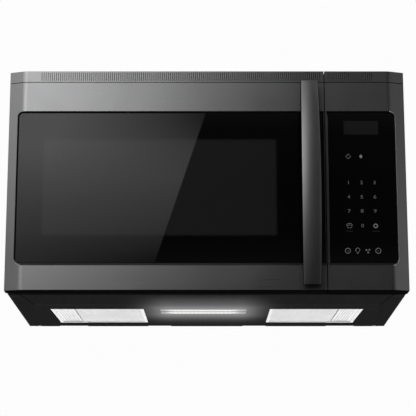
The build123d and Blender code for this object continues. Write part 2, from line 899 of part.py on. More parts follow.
def base_pan_wedge(lift):
    """The pan's outer shape below the rim, moved up by lift."""
    wide = case_half - pan_flange
    narrow = wide - pan_front_run
    front = [(side * wide, plate_y, lift) for side in (-1, 1)]
    rear = [(side * wide, -pan_rear_margin, lift) for side in (-1, 1)]
    crest = [(side * narrow, plate_y + pan_front_run, lift - pan_drop) for side in (-1, 1)]
    outlines = [
        [front[0], front[1], crest[1], crest[0]],
        [crest[0], crest[1], rear[1], rear[0]],
        [front[0], front[1], rear[1], rear[0]],
        [front[0], crest[0], rear[0]],
        [front[1], crest[1], rear[1]],
    ]
    faces = [Face(Wire.make_polygon(points, close=True)) for points in outlines]
    return Solid(Shell(faces))


def pan_slope():
    """Plane on the pan's outer surface: Y runs up the slope from the crest, Z into the oven."""
    angle = math.atan2(pan_drop, pan_run)
    origin = (0, plate_y + pan_front_run, -pan_drop)
    return Plane(origin=origin, x_dir=(1, 0, 0), z_dir=(0, -math.sin(angle), math.cos(angle)))


def base_pan():
    half = inner_half - slip_gap
    flat = block((-half, half), (plate_back_y, rim_y), (0, sheet))
    flat += block(grown((-rear_half, rear_half), -sheet - slip_gap), (rim_y - 1, -sheet), (0, sheet))
    front_tab = block((-half, half), (plate_y, plate_back_y + sheet), (-sheet, 0))
    pan = flat + front_tab + Part([base_pan_wedge(0)])
    pan -= Part([base_pan_wedge(sheet)])
    through = (-pan_drop, 2 * pan_drop)
    for side in (-1, 1):
        x_span = sorted((side * filter_inner_x, side * filter_outer_x))
        pan -= pan_slope() * block(x_span, (filter_front_run, filter_back_run), through)
    pan -= pan_slope() * block((lens_left, lens_right), (lens_front_run, lens_back_run), through)
    return pan - [screw_hole(seat, (0, 0, 1)) for seat in base_screw_seats()]


def grease_filter(side):
    near = filter_inner_x + filter_gap
    far = filter_outer_x - filter_gap
    x_span = sorted((side * near, side * far))
    y_span = (filter_front_run + filter_gap, filter_back_run - filter_gap)
    base = filter_recess
    body = block(x_span, y_span, (base, base + filter_thickness))
    rim = filter_rim
    well_x = (x_span[0] + rim, x_span[1] - rim)
    well_y = (y_span[0] + rim, y_span[1] - rim)
    pad_low = base + filter_mesh_recess
    body -= block(well_x, well_y, (base - 1, pad_low))
    body -= block(well_x, well_y, (pad_low + filter_pad_thickness, base + filter_thickness + 1))
    for index in range(filter_louvre_count):
        x = side * (far - rim - filter_louvre_margin - index * filter_louvre_pitch)
        groove_x = (x - filter_louvre_width / 2, x + filter_louvre_width / 2)
        groove_z = (pad_low - 1, pad_low + filter_louvre_depth)
        groove_y = (well_y[0] + filter_louvre_margin, well_y[1] - filter_louvre_margin)
        body -= block(groove_x, groove_y, groove_z)
    return pan_slope() * body


def lamp_lens():
    x_span = (lens_left + lens_gap, lens_right - lens_gap)
    y_span = (lens_front_run + lens_gap, lens_back_run - lens_gap)
    lens = block(x_span, y_span, (0, lens_thickness))
    middle = (lens_front_run + lens_back_run) / 2
    lens += block(x_span, (middle - lens_rib_width / 2, middle + lens_rib_width / 2), (-lens_rib_height, 0))
    return pan_slope() * lens


def lamp_housing():
    """Open box over the lens."""
    wall = lamp_house_wall
    low = lens_thickness
    high = low + lamp_house_height
    x_span = (lens_left - wall, lens_right + wall)
    y_span = (lens_front_run - wall, lens_back_run + wall)
    house = block(x_span, y_span, (low, high))
    house -= block((lens_left, lens_right), (lens_front_run, lens_back_run), (low - 1, high - wall))
    return pan_slope() * house


def led_board():
    """Lamp board with two light bars."""
    low = lens_thickness + lamp_board_height
    board = block((lens_left, lens_right), (lens_front_run, lens_back_run), (low, low + lamp_board_thickness))
    middle = (lens_front_run + lens_back_run) / 2
    bar_x = (lens_left + lamp_bar_end_margin, lens_right - lamp_bar_end_margin)
    for side in (-1, 1):
        y = middle + side * lamp_bar_pitch / 2
        board += block(bar_x, around(y, lamp_bar_width), (low - lamp_bar_thickness, low))
    return pan_slope() * board


def case_screws():
    screws = Part()
    for seat in rear_screw_seats():
        screws += screw(seat, (0, -1, 0))
    for seat in base_screw_seats():
        screws += screw(seat, (0, 0, 1))
    return screws


def component_shelf():
    x_span = (guide_x + slip_gap, inner_half - slip_gap)
    return block(x_span, (plate_back_y, -rear_air_gap), (shelf_height, shelf_top))


def duct_floor():
    half = inner_half - slip_gap
    return block((-half, half), (plate_back_y, -rear_air_gap), (duct_floor_height, blower_low))


def charcoal_filter():
    low = blower_low
    high = case_top - sheet - slip_gap
    back = plate_back_y + charcoal_offset
    return block((-charcoal_width / 2, charcoal_width / 2), (back, back + charcoal_depth), (low, high))


def exhaust_adapter():
    """Collar up through the case's top, on a flange fixed under it."""
    x_span = around(0, duct_width)
    y_span = around(duct_middle_y, duct_depth)
    flange_z = (case_top - 2 * sheet, case_top - sheet)
    adapter = block(grown(x_span, duct_flange), grown(y_span, duct_flange / 2), flange_z)
    adapter += block(x_span, y_span, (flange_z[0], duct_top))
    through = (flange_z[0] - 1, duct_top + 1)
    adapter -= block(grown(x_span, -duct_wall), grown(y_span, -duct_wall), through)
    for side in (-1, 1):
        start = (side * (duct_width / 2 - duct_wall - 1), damper_hinge_y, damper_z)
        adapter -= rod(start, (side, 0, 0), duct_wall + 2, damper_pin_radius + running_gap)
    return adapter


def damper_flap():
    """Flap on a pin along the rear side of the duct; it lifts at the front."""
    half_x = duct_width / 2 - duct_wall - damper_gap
    front = duct_middle_y - duct_depth / 2 + duct_wall + damper_gap
    half = damper_thickness / 2
    flap = block((-half_x, half_x), (front, damper_hinge_y), (damper_z - half, damper_z + half))
    pin = duct_width / 2 - duct_wall + damper_pin_length
    return flap + rod((-pin, damper_hinge_y, damper_z), (1, 0, 0), 2 * pin, damper_pin_radius)


def cord_gland():
    """Bush flush with the case's top, on a flange under it."""
    x, y = gland_centre()
    gland = rod((x, y, case_top), (0, 0, -1), gland_length, gland_radius - slip_gap)
    gland += rod((x, y, case_top - sheet), (0, 0, -1), gland_flange_height, gland_flange_radius)
    return gland - rod((x, y, case_top + 1), (0, 0, -1), gland_length + 2, gland_bore_radius)


# Oven
def vent_holes(x):
    """Grid of round holes through a side wall of the cavity."""
    holes = []
    for row in range(vent_hole_rows):
        for column in range(vent_hole_columns):
            y = plate_back_y + vent_front_margin + column * vent_hole_pitch
            z = cavity_high - vent_top_margin - row * vent_hole_pitch
            holes.append(rod((x - 3 * sheet, y, z), (1, 0, 0), 6 * sheet, vent_hole_radius))
    return holes


def feed_limits():
    low = guide_low + feed_margin
    return (guide_y + feed_margin, guide_y + guide_width - feed_margin), (low, low + feed_height)


def oven_cavity():
    width = (cavity_left, cavity_right)
    height = (cavity_low, cavity_high)
    outer = block(grown(width, sheet), (plate_back_y, cavity_back_y + sheet), grown(height, sheet))
    inner = block(width, (plate_back_y - sheet, cavity_back_y), height)
    outer = fillet(outer.edges().filter_by(Axis.Y), cavity_corner + sheet)
    inner = fillet(inner.edges().filter_by(Axis.Y), cavity_corner)
    cavity = outer - inner
    shaft_hole = drive_shaft_radius + coupler_floor_gap
    cavity -= rod((cavity_middle_x, turntable_y, cavity_low - 2), (0, 0, 1), 4, shaft_hole)
    feed_y, feed_z = feed_limits()
    cavity -= block((cavity_right - 1, cavity_right + sheet + 1), feed_y, feed_z)
    cavity -= rod((cavity_right - 1, lamp_y, lamp_z), (1, 0, 0), sheet + 2, lamp_window_radius)
    return cavity - vent_holes(cavity_left) - vent_holes(cavity_right)


def waveguide_cover():
    feed_y, feed_z = feed_limits()
    edge = feed_cover_margin
    x_span = (cavity_right - feed_cover_thickness, cavity_right)
    return block(x_span, grown(feed_y, edge), grown(feed_z, edge))


def waveguide():
    """Sheet duct from the magnetron's antenna to the feed opening."""
    wall = sheet
    y_span = (guide_y, guide_y + guide_width)
    duct = block((guide_x, guide_right), y_span, (guide_low, guide_high))
    inner_y = (y_span[0] + wall, y_span[1] - wall)
    duct -= block((guide_x - 1, guide_right - wall), inner_y, (guide_low + wall, guide_high - wall))
    y = guide_y + guide_width / 2
    return duct - rod((guide_right - 2, y, magnetron_z), (1, 0, 0), 4, magnetron_antenna_radius + slip_gap)


def magnetron():
    """Open yoke round a finned tube, with its antenna in the waveguide."""
    y = guide_y + guide_width / 2
    wall = magnetron_wall
    x_span = (guide_right, guide_right + magnetron_length)
    y_span = around(y, magnetron_length)
    z_span = around(magnetron_z, magnetron_height)
    yoke = block(x_span, y_span, z_span) - block(grown(x_span, -wall), grown(y_span, 1), grown(z_span, -wall))
    start = (x_span[0] - magnetron_antenna_length, y, magnetron_z)
    tube = rod(start, (1, 0, 0), magnetron_antenna_length + wall, magnetron_antenna_radius)
    core_start = (x_span[0] + wall, y, magnetron_z)
    tube += rod(core_start, (1, 0, 0), magnetron_length - 2 * wall, magnetron_core_radius)
    first = (x_span[0] + x_span[1]) / 2 - magnetron_fin_gap * (magnetron_fin_count - 1) / 2
    for index in range(magnetron_fin_count):
        fin_x = around(first + index * magnetron_fin_gap, magnetron_fin_thickness)
        tube += block(fin_x, y_span, grown(z_span, -wall))
    return yoke + tube


def hv_transformer():
    """Laminated core with two windows and a coil that stands out at both ends."""
    x_span = around(transformer_x, transformer_width)
    front = plate_back_y + transformer_front_margin
    y_span = (front, front + transformer_length)
    core = block(x_span, y_span, (shelf_top, shelf_top + transformer_height))
    window_z = around(shelf_top + transformer_height / 2, transformer_window_height)
    leg = (transformer_width - 2 * transformer_window_width) / 4
    return core + block(grown(x_span, -leg), grown(y_span, coil_overhang), window_z)


def hv_capacitor():
    """Flat can with two terminals on top."""
    front = plate_back_y + capacitor_front_margin
    top = shelf_top + capacitor_height
    can = block(around(capacitor_x, capacitor_width), (front, front + capacitor_length), (shelf_top, top))
    can = fillet(can.edges().filter_by(Axis.Z), capacitor_width / 4)
    for side in (-1, 1):
        place = (capacitor_x + side * capacitor_width / 4, front + capacitor_length / 2, top)
        can += rod(place, (0, 0, 1), capacitor_terminal_height, capacitor_terminal_radius)
    return can


def thermal_cutouts():
    discs = Part()
    for x in (cavity_left + cutout_left_margin, cavity_right - cutout_right_margin):
        seat = (x, plate_back_y + cutout_front_margin, cavity_low - sheet)
        discs += rod(seat, (0, 0, -1), cutout_height, cutout_radius)
    return discs


def cavity_lamp():
    lamp = rod((cavity_right + sheet, lamp_y, lamp_z), (1, 0, 0), lamp_x_length, lamp_radius)
    return lamp + rod((cavity_right, lamp_y, lamp_z), (1, 0, 0), sheet, lamp_window_radius)


def turntable_motor():
    top = (cavity_middle_x, turntable_y, cavity_low - sheet)
    motor = rod(top, (0, 0, -1), motor_height, motor_radius)
    return motor - rod(top, (0, 0, -1), motor_bore_depth, drive_shaft_radius + running_gap)


def drive_coupler():
    """Three-lobed hub under the tray, on the motor's shaft."""
    centre = (cavity_middle_x, turntable_y)
    low = cavity_low + coupler_floor_gap
    height = tray_low - low
    coupler = rod((*centre, low), (0, 0, 1), height, coupler_radius)
    for index in range(coupler_lobe_count):
        angle = math.radians(index * 360 / coupler_lobe_count)
        x = centre[0] + coupler_radius * math.cos(angle)
        y = centre[1] + coupler_radius * math.sin(angle)
        coupler += rod((x, y, low), (0, 0, 1), height, coupler_lobe_radius)
    depth_in_motor = motor_bore_depth - moving_gap
    shaft_low = cavity_low - sheet - depth_in_motor
    return coupler + rod((*centre, shaft_low), (0, 0, 1), low - shaft_low, drive_shaft_radius)


def glass_turntable():
    """Glass tray with a raised rim, turned round the drive axis."""
    rise = tray_rim_height
    inner = tray_radius - tray_rim_width
    top = tray_low + tray_thickness
    points = [
        (0, tray_low), (inner, tray_low), (tray_radius, tray_low + rise), (tray_radius, top + rise),
        (tray_radius - tray_thickness, top + rise), (inner - tray_thickness / 2, top), (0, top),
    ]
    profile = Plane.XZ * Polygon(*points, align=None)
    return Pos(cavity_middle_x, turntable_y, 0) * revolve(profile, axis=Axis.Z)


def roller_ring():
    """Ring under the tray with a stub axle for each roller."""
    middle_z = cavity_low + roller_radius + roller_gap
    centre = (cavity_middle_x, turntable_y)
    low = middle_z - ring_height / 2
    ring = rod((*centre, low), (0, 0, 1), ring_height, ring_radius + ring_width / 2)
    ring -= rod((*centre, low - 1), (0, 0, 1), ring_height + 2, ring_radius - ring_width / 2)
    inside = ring_radius
    for index in range(roller_count):
        angle = math.radians(index * 360 / roller_count)
        way = (math.cos(angle), math.sin(angle), 0)
        start = (centre[0] + inside * way[0], centre[1] + inside * way[1], middle_z)
        ring += rod(start, way, roller_path + roller_width / 2 - inside, stub_radius)
    return ring


def roller(index):
    angle = math.radians(index * 360 / roller_count)
    way = (math.cos(angle), math.sin(angle), 0)
    near = roller_path - roller_width / 2
    axle_z = cavity_low + roller_radius + roller_gap
    start = (cavity_middle_x + near * way[0], turntable_y + near * way[1], axle_z)
    wheel = rod(start, way, roller_width, roller_radius)
    return wheel - rod(start, way, roller_width, stub_radius + running_gap)


# Blower
def blower_housing():
    """Two scroll boxes on one saddle, each with an inlet at both ends and an outlet to the front."""
    y_span = (blower_y - blower_bore - blower_wall, blower_y + blower_bore + blower_wall)
    z_span = (blower_low, blower_high)
    housing = block((-blower_far, blower_far), y_span, (blower_low, blower_low + blower_saddle))
    for side in (-1, 1):
        x_span = sorted((side * blower_near, side * blower_far))
        box = block(x_span, y_span, z_span)
        inside = grown(x_span, -blower_wall)
        through = blower_far - blower_near + 2
        box -= rod((inside[0], blower_y, blower_z), (1, 0, 0), inside[1] - inside[0], blower_bore)
        box -= rod((x_span[0] - 1, blower_y, blower_z), (1, 0, 0), through, blower_inlet_radius)
        outlet_high = blower_z + blower_bore
        box -= block(inside, (y_span[0] - 1, blower_y), (outlet_high - blower_outlet_height, outlet_high))
        housing += box
    return housing


def blower_motor():
    start = (-blower_motor_length / 2, blower_y, blower_z)
    motor = rod(start, (1, 0, 0), blower_motor_length, blower_motor_radius)
    foot_x = around(0, blower_motor_length / 2)
    motor += block(foot_x, around(blower_y, blower_motor_radius), (blower_low + blower_saddle, blower_z))
    bore_start = (start[0] - 1, blower_y, blower_z)
    return motor - rod(bore_start, (1, 0, 0), blower_motor_length + 2, blower_shaft_radius + running_gap)


def blower_shaft():
    reach = blower_far - blower_wall - blower_clearance
    return rod((-reach, blower_y, blower_z), (1, 0, 0), 2 * reach, blower_shaft_radius)


def blower_wheels():
    """Two slotted drums, each with a disc on the shaft."""
    wheels = Part()
    for side in (-1, 1):
        near = side * (blower_near + blower_wall + blower_clearance)
        way = (side, 0, 0)
        drum = rod((near, blower_y, blower_z), way, blower_wheel_length, blower_wheel_radius)
        hollow_start = near + side * blower_hub_thickness
        hollow_radius = blower_wheel_radius - blower_wheel_wall
        drum -= rod((hollow_start, blower_y, blower_z), way, blower_wheel_length, hollow_radius)
        slot_length = blower_wheel_length - 2 * blower_hub_thickness
        middle = near + side * blower_wheel_length / 2
        slots = []
        for index in range(blower_wheel_slots):
            turn = Rot(X=index * 360 / blower_wheel_slots)
            slot = Box(slot_length, blower_slot_width, 3 * blower_wheel_wall)
            slots.append(Pos(middle, blower_y, blower_z) * turn * Pos(0, 0, blower_wheel_radius) * slot)
        drum -= slots
        wheels += drum - rod((near - side, blower_y, blower_z), way, blower_wheel_length, blower_shaft_radius)
    return wheels


# Cooling fan
def fan_y():
    return -fan_rear_margin


def cooling_fan_shroud():
    """Plate with a round opening and a strut that carries the motor."""
    x_span = around(fan_x, fan_plate)
    y_span = (fan_y(), fan_y() + fan_plate_thickness)
    plate = block(x_span, y_span, (shelf_top, fan_z + fan_plate / 2))
    plate -= rod((fan_x, y_span[0] - 1, fan_z), (0, 1, 0), fan_plate_thickness + 2, fan_opening_radius)
    return plate + fan_strut()


def fan_strut():
    """Cross bar behind the plate's opening, on the side away from the blades."""
    y_span = (fan_y() + fan_plate_thickness, fan_y() + 2 * fan_plate_thickness)
    bar = block(around(fan_x, fan_plate), y_span, around(fan_z, fan_strut_width))
    return bar - rod((fan_x, fan_y(), fan_z), (0, 1, 0), 3 * fan_plate_thickness, fan_shaft_radius + slip_gap)


def cooling_fan_motor():
    start = (fan_x, fan_y() + 2 * fan_plate_thickness, fan_z)
    motor = rod(start, (0, 1, 0), fan_motor_length - fan_plate_thickness, fan_motor_radius)
    return motor - rod(start, (0, 1, 0), fan_motor_length / 2, fan_shaft_radius + running_gap)


def cooling_fan_blade():
    """Hub, blades set at an angle and the shaft that runs into the motor."""
    face = fan_y() - moving_gap
    hub = rod((fan_x, face, fan_z), (0, -1, 0), fan_hub_length, fan_hub_radius)
    shaft_end = 2 * fan_plate_thickness + fan_motor_length / 2 - moving_gap
    hub += rod((fan_x, face, fan_z), (0, 1, 0), shaft_end, fan_shaft_radius)
    blade_length = fan_radius - fan_hub_radius
    blade_x = fan_hub_radius + blade_length / 2 - 1
    for index in range(fan_blade_count):
        turn = Rot(Y=index * 360 / fan_blade_count)
        blade = Rot(X=fan_blade_turn) * Box(blade_length, fan_blade_thickness, fan_blade_width)
        hub += Pos(fan_x, face - fan_hub_length / 2, fan_z) * turn * Pos(blade_x, 0, 0) * blade
    return hub


# Control panel
def control_board():
    """Board behind the touch glass, with the display in front and relays behind."""
    x_span = (panel_left + board_margin, opening_half - board_margin)
    back = (board_depth, board_depth + board_thickness)
    board = front_block(x_span, back, (board_low, board_high))
    front_gap = (glass_back, board_depth)
    board += front_block((display_left, display_right), front_gap, (display_low, display_high))
    relay_x = around((x_span[0] + x_span[1]) / 2, relay_size)
    for index in range(relay_count):
        z = board_low + relay_size + index * relay_pitch
        board += front_block(relay_x, (back[1], back[1] + relay_size), (z, z + relay_size))
    for x in (x_span[0] + standoff_radius, x_span[1] - standoff_radius):
        for z in (board_low + standoff_radius, board_high - standoff_radius):
            start = (x, front_y + glass_back, z)
            board += rod(start, (0, 1, 0), board_depth - glass_back, standoff_radius)
    return board


nodes = {
    "outer_case": outer_case(),
    "rear_panel": rear_panel(),
    "front_plate": front_plate(),
    "base_pan": base_pan(),
    "case_screws": case_screws(),
    "component_shelf": component_shelf(),
    "duct_floor": duct_floor(),
    "charcoal_filter": charcoal_filter(),
    "exhaust_adapter": exhaust_adapter(),
    "damper_flap": damper_flap(),
    "cord_gland": cord_gland(),
    "grease_filter_left": grease_filter(-1),
    "grease_filter_right": grease_filter(1),
    "lamp_lens": lamp_lens(),
    "lamp_housing": lamp_housing(),
    "led_board": led_board(),
    "oven_cavity": oven_cavity(),
    "waveguide_cover": waveguide_cover(),
    "waveguide": waveguide(),
    "magnetron": magnetron(),
    "hv_transformer": hv_transformer(),
    "hv_capacitor": hv_capacitor(),
    "thermal_cutouts": thermal_cutouts(),
    "cavity_lamp": cavity_lamp(),
    "turntable_motor": turntable_motor(),
    "drive_coupler": drive_coupler(),
    "glass_turntable": glass_turntable(),
    "roller_ring": roller_ring(),
    "blower_housing": blower_housing(),
    "blower_motor": blower_motor(),
    "blower_shaft": blower_shaft(),
    "blower_wheels": blower_wheels(),
    "cooling_fan_shroud": cooling_fan_shroud(),
    "cooling_fan_motor": cooling_fan_motor(),
    "cooling_fan_blade": cooling_fan_blade(),
    "control_frame": control_frame(),
    "panel_vent_trim": panel_vent_trim(),
    "control_glass": control_glass(),
    "control_board": control_board(),
    "door_frame": door_frame(),
    "door_vent_trim": door_vent_trim(),
    "door_glass": door_glass(),
    "window_screen": window_screen(),
    "inner_window": inner_window(),
    "choke_panel": choke_panel(),
    "choke_cover": choke_cover(),
    "door_back_cover": door_back_cover(),
    "door_hinge_blocks": door_hinge_blocks(),
    "hinge_brackets": hinge_brackets(),
    "handle_bar": handle_bar(),
    "handle_posts": handle_posts(),
    "handle_screws": handle_screws(),
    "door_latch": door_latch(),
    "interlock_bracket": interlock_bracket(),
    "interlock_switches": interlock_switches(),
}
for index, name in enumerate(("switch_plunger_lower", "switch_plunger_upper")):
    nodes[name] = switch_plunger(index)
for index in range(roller_count):
    nodes[f"roller_{index + 1}"] = roller(index)

os.makedirs("parts", exist_ok=True)
for name, shape in nodes.items():
    export_step(shape, f"parts/{name}.step")
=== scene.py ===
import bpy
import json
import math
import numpy as np
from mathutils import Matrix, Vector


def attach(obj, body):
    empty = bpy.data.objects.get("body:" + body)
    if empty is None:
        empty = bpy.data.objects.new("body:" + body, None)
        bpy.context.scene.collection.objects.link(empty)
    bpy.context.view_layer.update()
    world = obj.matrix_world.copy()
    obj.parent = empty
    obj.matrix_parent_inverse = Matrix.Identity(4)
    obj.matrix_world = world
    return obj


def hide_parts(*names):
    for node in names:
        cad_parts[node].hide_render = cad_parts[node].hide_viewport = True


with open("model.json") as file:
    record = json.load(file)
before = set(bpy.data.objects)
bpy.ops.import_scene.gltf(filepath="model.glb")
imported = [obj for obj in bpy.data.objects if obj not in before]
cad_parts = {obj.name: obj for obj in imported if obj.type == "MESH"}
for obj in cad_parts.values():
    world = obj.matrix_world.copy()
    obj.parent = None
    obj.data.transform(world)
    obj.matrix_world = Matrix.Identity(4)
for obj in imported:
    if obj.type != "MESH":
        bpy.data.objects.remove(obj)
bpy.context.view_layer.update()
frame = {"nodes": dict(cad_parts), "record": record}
mm = 0.001
print("frame loaded:", len(frame["nodes"]), "nodes")


# Small helpers for node trees

def feed(tree, socket, value):
    if isinstance(value, bpy.types.NodeSocket):
        tree.links.new(value, socket)
    else:
        socket.default_value = value


def feedAll(tree, sockets, **values):
    # names are socket names with _ for a space; a socket is linked, a number or tuple is set
    for key, value in values.items():
        feed(tree, sockets[key.replace("_", " ")], value)


def addNode(tree, kind, **values):
    node = tree.nodes.new(kind)
    feedAll(tree, node.inputs, **values)
    return node


def calc(tree, operation, *values, clamp=False):
    node = tree.nodes.new("ShaderNodeMath")
    node.operation = operation
    node.use_clamp = clamp
    for index, value in enumerate(values):
        feed(tree, node.inputs[index], value)
    return node.outputs[0]


def multiply(tree, product, *factors):
    for factor in factors:
        product = calc(tree, "MULTIPLY", product, factor)
    return product


def minus(tree, first, second):
    return calc(tree, "SUBTRACT", first, second)


def distance(tree, first, second):
    return calc(tree, "ABSOLUTE", minus(tree, first, second))


def remap(tree, value, low, high, newLow=0.0, newHigh=1.0, smooth=False):
    node = tree.nodes.new("ShaderNodeMapRange")
    node.interpolation_type = "SMOOTHSTEP" if smooth else "LINEAR"
    feedAll(tree, node.inputs, Value=value, From_Min=low, From_Max=high, To_Min=newLow, To_Max=newHigh)
    return node.outputs[0]


def between(tree, mask, low, high):
    # low where the mask is 0, high where it is 1
    return remap(tree, mask, 0.0, 1.0, low, high)


def shadeRange(tree, value, low, high, strength):
    # from 1 - strength at low to 1 + strength at high
    return remap(tree, value, low, high, minus(tree, 1.0, strength), calc(tree, "ADD", 1.0, strength))


def mixColours(tree, amount, first, second):
    node = tree.nodes.new("ShaderNodeMix")
    node.data_type = "RGBA"
    for index, value in ((0, amount), (6, first), (7, second)):
        if index and not isinstance(value, bpy.types.NodeSocket):
            value = (*value[:3], 1.0)
        feed(tree, node.inputs[index], value)
    return node.outputs[2]


def scaleColour(tree, colour, shade):
    node = tree.nodes.new("ShaderNodeVectorMath")
    node.operation = "SCALE"
    feed(tree, node.inputs[0], colour)
    feed(tree, node.inputs["Scale"], shade)
    return node.outputs[0]


def axes(tree, vector):
    return addNode(tree, "ShaderNodeSeparateXYZ", Vector=vector).outputs


def noise(tree, vector, scale, detail, distortion=0.0):
    node = addNode(tree, "ShaderNodeTexNoise", Vector=vector, Scale=scale, Detail=detail)
    node.inputs["Distortion"].default_value = distortion
    return node.outputs


def asGroup(outputs, **inputs):
    # turns a function into a node group of its name; an input with a number is a float and one without
    # is a vector, and every output is a float
    def build(paint):
        tree = bpy.data.node_groups.new(paint.__name__, "ShaderNodeTree")
        for label, value in inputs.items():
            kind = "NodeSocketVector" if value is None else "NodeSocketFloat"
            socket = tree.interface.new_socket(label, in_out="INPUT", socket_type=kind)
            if value is not None:
                socket.default_value = value
        for label in outputs:
            tree.interface.new_socket(label, in_out="OUTPUT", socket_type="NodeSocketFloat")
        given, result = tree.nodes.new("NodeGroupInput").outputs, tree.nodes.new("NodeGroupOutput").inputs
        paint(tree, result, *(given[label] for label in inputs))
        return tree
    return build


def useGroup(tree, group, **values):
    node = tree.nodes.new("ShaderNodeGroup")
    node.node_tree = group
    feedAll(tree, node.inputs, **values)
    return node.outputs


# the span in which most of a noise's values lie
noiseSpan = (0.3, 0.7)
grainMix = {"broadScale": 0.23, "fineShare": 0.6, "broadShare": 0.4}
mottleScale = 0.06
smudgeSpan = (0.42, 0.72)
cellBend = {"scale": 160.0, "reach": (0.006, 0.006, 0.006)}
dustSpread = {"scale": 24.0, "patches": (0.35, 0.7), "least": 0.35, "upward": (0.5, 1.0)}
dotSoftness = 0.06
haloFade = {"near": 0.5, "far": 0.45}


@asGroup(("Shade", "Height"), Vector=None, Scale=1.0, Strength=0.1)
def brushedGrain(tree, result, vector, scale, strength):
    # two noises, stretched by the caller, added into one streak value
    fine = noise(tree, vector, scale, 3.0)[0]
    broadScale = multiply(tree, scale, grainMix["broadScale"])
    broad = multiply(tree, noise(tree, vector, broadScale, 2.0)[0], grainMix["broadShare"])
    streak = calc(tree, "MULTIPLY_ADD", fine, grainMix["fineShare"], broad)
    feedAll(tree, result, Shade=shadeRange(tree, streak, *noiseSpan, strength), Height=streak)


@asGroup(("Mask",), Vector=None, Scale=9.0)
def smudges(tree, result, vector, scale):
    # broad soft patches where hands and cloths have been
    patches = noise(tree, vector, scale, 4.0, 0.6)[0]
    feed(tree, result["Mask"], remap(tree, patches, *smudgeSpan, smooth=True))


@asGroup(("Shade", "Height"), Vector=None, Scale=900.0, Strength=0.1)
def mouldGrain(tree, result, vector, scale, strength):
    # leathery grain of moulded plastic and matt paint, over a much broader mottle
    cells = addNode(tree, "ShaderNodeTexVoronoi", Vector=vector, Scale=scale)
    mottle = noise(tree, vector, multiply(tree, scale, mottleScale), 3.0)[0]
    shade = shadeRange(tree, mottle, *noiseSpan, strength)
    feedAll(tree, result, Shade=shade, Height=cells.outputs[0])


@asGroup(("Shade", "Gloss"), Vector=None, Scale=110.0, Strength=0.14)
def spangle(tree, result, vector, scale, strength):
    # crystals of zinc with bent edges: each cell has its own grey and its own gloss
    bend = noise(tree, vector, cellBend["scale"], 2.0)[1]
    shift = tree.nodes.new("ShaderNodeVectorMath")
    shift.operation = "MULTIPLY_ADD"
    for index, value in enumerate((bend, cellBend["reach"], vector)):
        feed(tree, shift.inputs[index], value)
    cells = addNode(tree, "ShaderNodeTexVoronoi", Vector=shift.outputs[0], Scale=scale)
    cell = addNode(tree, "ShaderNodeSeparateColor", Color=cells.outputs["Color"]).outputs
    feedAll(tree, result, Shade=shadeRange(tree, cell[0], 0.0, 1.0, strength), Gloss=cell[1])


@asGroup(("Mask",), Vector=None, Normal=None, Amount=0.4)
def settledDust(tree, result, vector, normal, amount):
    # more dust the more a face looks up, broken by noise
    patches = noise(tree, vector, dustSpread["scale"], 5.0)[0]
    broken = remap(tree, patches, *dustSpread["patches"], dustSpread["least"], 1.0, smooth=True)
    upward = remap(tree, axes(tree, normal)[2], *dustSpread["upward"], smooth=True)
    feed(tree, result["Mask"], multiply(tree, upward, broken, amount))


@asGroup(("Mask",), Vector=None, Pitch=0.003, Radius=0.3)
def dotScreen(tree, result, vector, pitch, radius):
    # round dots on two square grids half a pitch apart, as in a punched or printed screen
    across = axes(tree, vector)
    dotEdge = calc(tree, "ADD", radius, dotSoftness)
    masks = []
    for offset in (0.0, 0.5):
        squares = []
        for axis in (0, 2):
            place = calc(tree, "ADD", calc(tree, "DIVIDE", across[axis], pitch), offset)
            fromMiddle = minus(tree, calc(tree, "FRACT", place), 0.5)
            squares.append(multiply(tree, fromMiddle, fromMiddle))
        reach = calc(tree, "SQRT", calc(tree, "ADD", *squares))
        masks.append(remap(tree, reach, radius, dotEdge, 1.0, 0.0))
    feed(tree, result["Mask"], calc(tree, "MAXIMUM", *masks))


@asGroup(("Mask",), Vector=None, Middle=None, Half=None, Softness=0.002)
def printedField(tree, result, vector, middle, half, softness):
    # 1 inside an upright rectangle seen from the front, fading over Softness at its edges
    place, middle, half = (axes(tree, value) for value in (vector, middle, half))
    sides = []
    for axis in (0, 2):
        past = minus(tree, distance(tree, place[axis], middle[axis]), half[axis])
        fade = calc(tree, "DIVIDE", past, softness)
        sides.append(remap(tree, fade, -1.0, 1.0, 1.0, 0.0, smooth=True))
    feed(tree, result["Mask"], multiply(tree, *sides))


@asGroup(("Mask",), Vector=None, Middle=None, Half=None, Reach=None)
def lampHalo(tree, result, *vectors):
    # exp(-(near q + far q squared)), with q the distance from a level rectangle in reaches
    place, middle, half, reach = (axes(tree, vector) for vector in vectors)
    squares = []
    for axis in (0, 1):
        past = minus(tree, distance(tree, place[axis], middle[axis]), half[axis])
        past = calc(tree, "DIVIDE", calc(tree, "MAXIMUM", past, 0.0), reach[axis])
        squares.append(calc(tree, "POWER", past, 2.0))
    square = calc(tree, "ADD", *squares)
    far = multiply(tree, square, -haloFade["far"])
    fade = calc(tree, "MULTIPLY_ADD", calc(tree, "SQRT", square), -haloFade["near"], far)
    feed(tree, result["Mask"], calc(tree, "EXPONENT", fade))


print("node groups built")


# Materials

def asMaterial(paint):
    # turns a function that fills a shader tree into one that makes a named material
    def make(name, *values, **options):
        material = bpy.data.materials.new(name)
        material.use_nodes = True
        tree = material.node_tree
        paint(tree, tree.nodes.new("ShaderNodeTexCoord").outputs["Object"], *values, **options)
        return material
    return make


def dress(tree, **values):
    feedAll(tree, tree.nodes["Principled BSDF"].inputs, **values)


def bump(tree, height, strength, depth):
    node = addNode(tree, "ShaderNodeBump", Height=height, Strength=strength, Distance=depth)
    dress(tree, Normal=node.outputs[0])


def surfaceNormal(tree):
    return tree.nodes.new("ShaderNodeNewGeometry").outputs["Normal"]


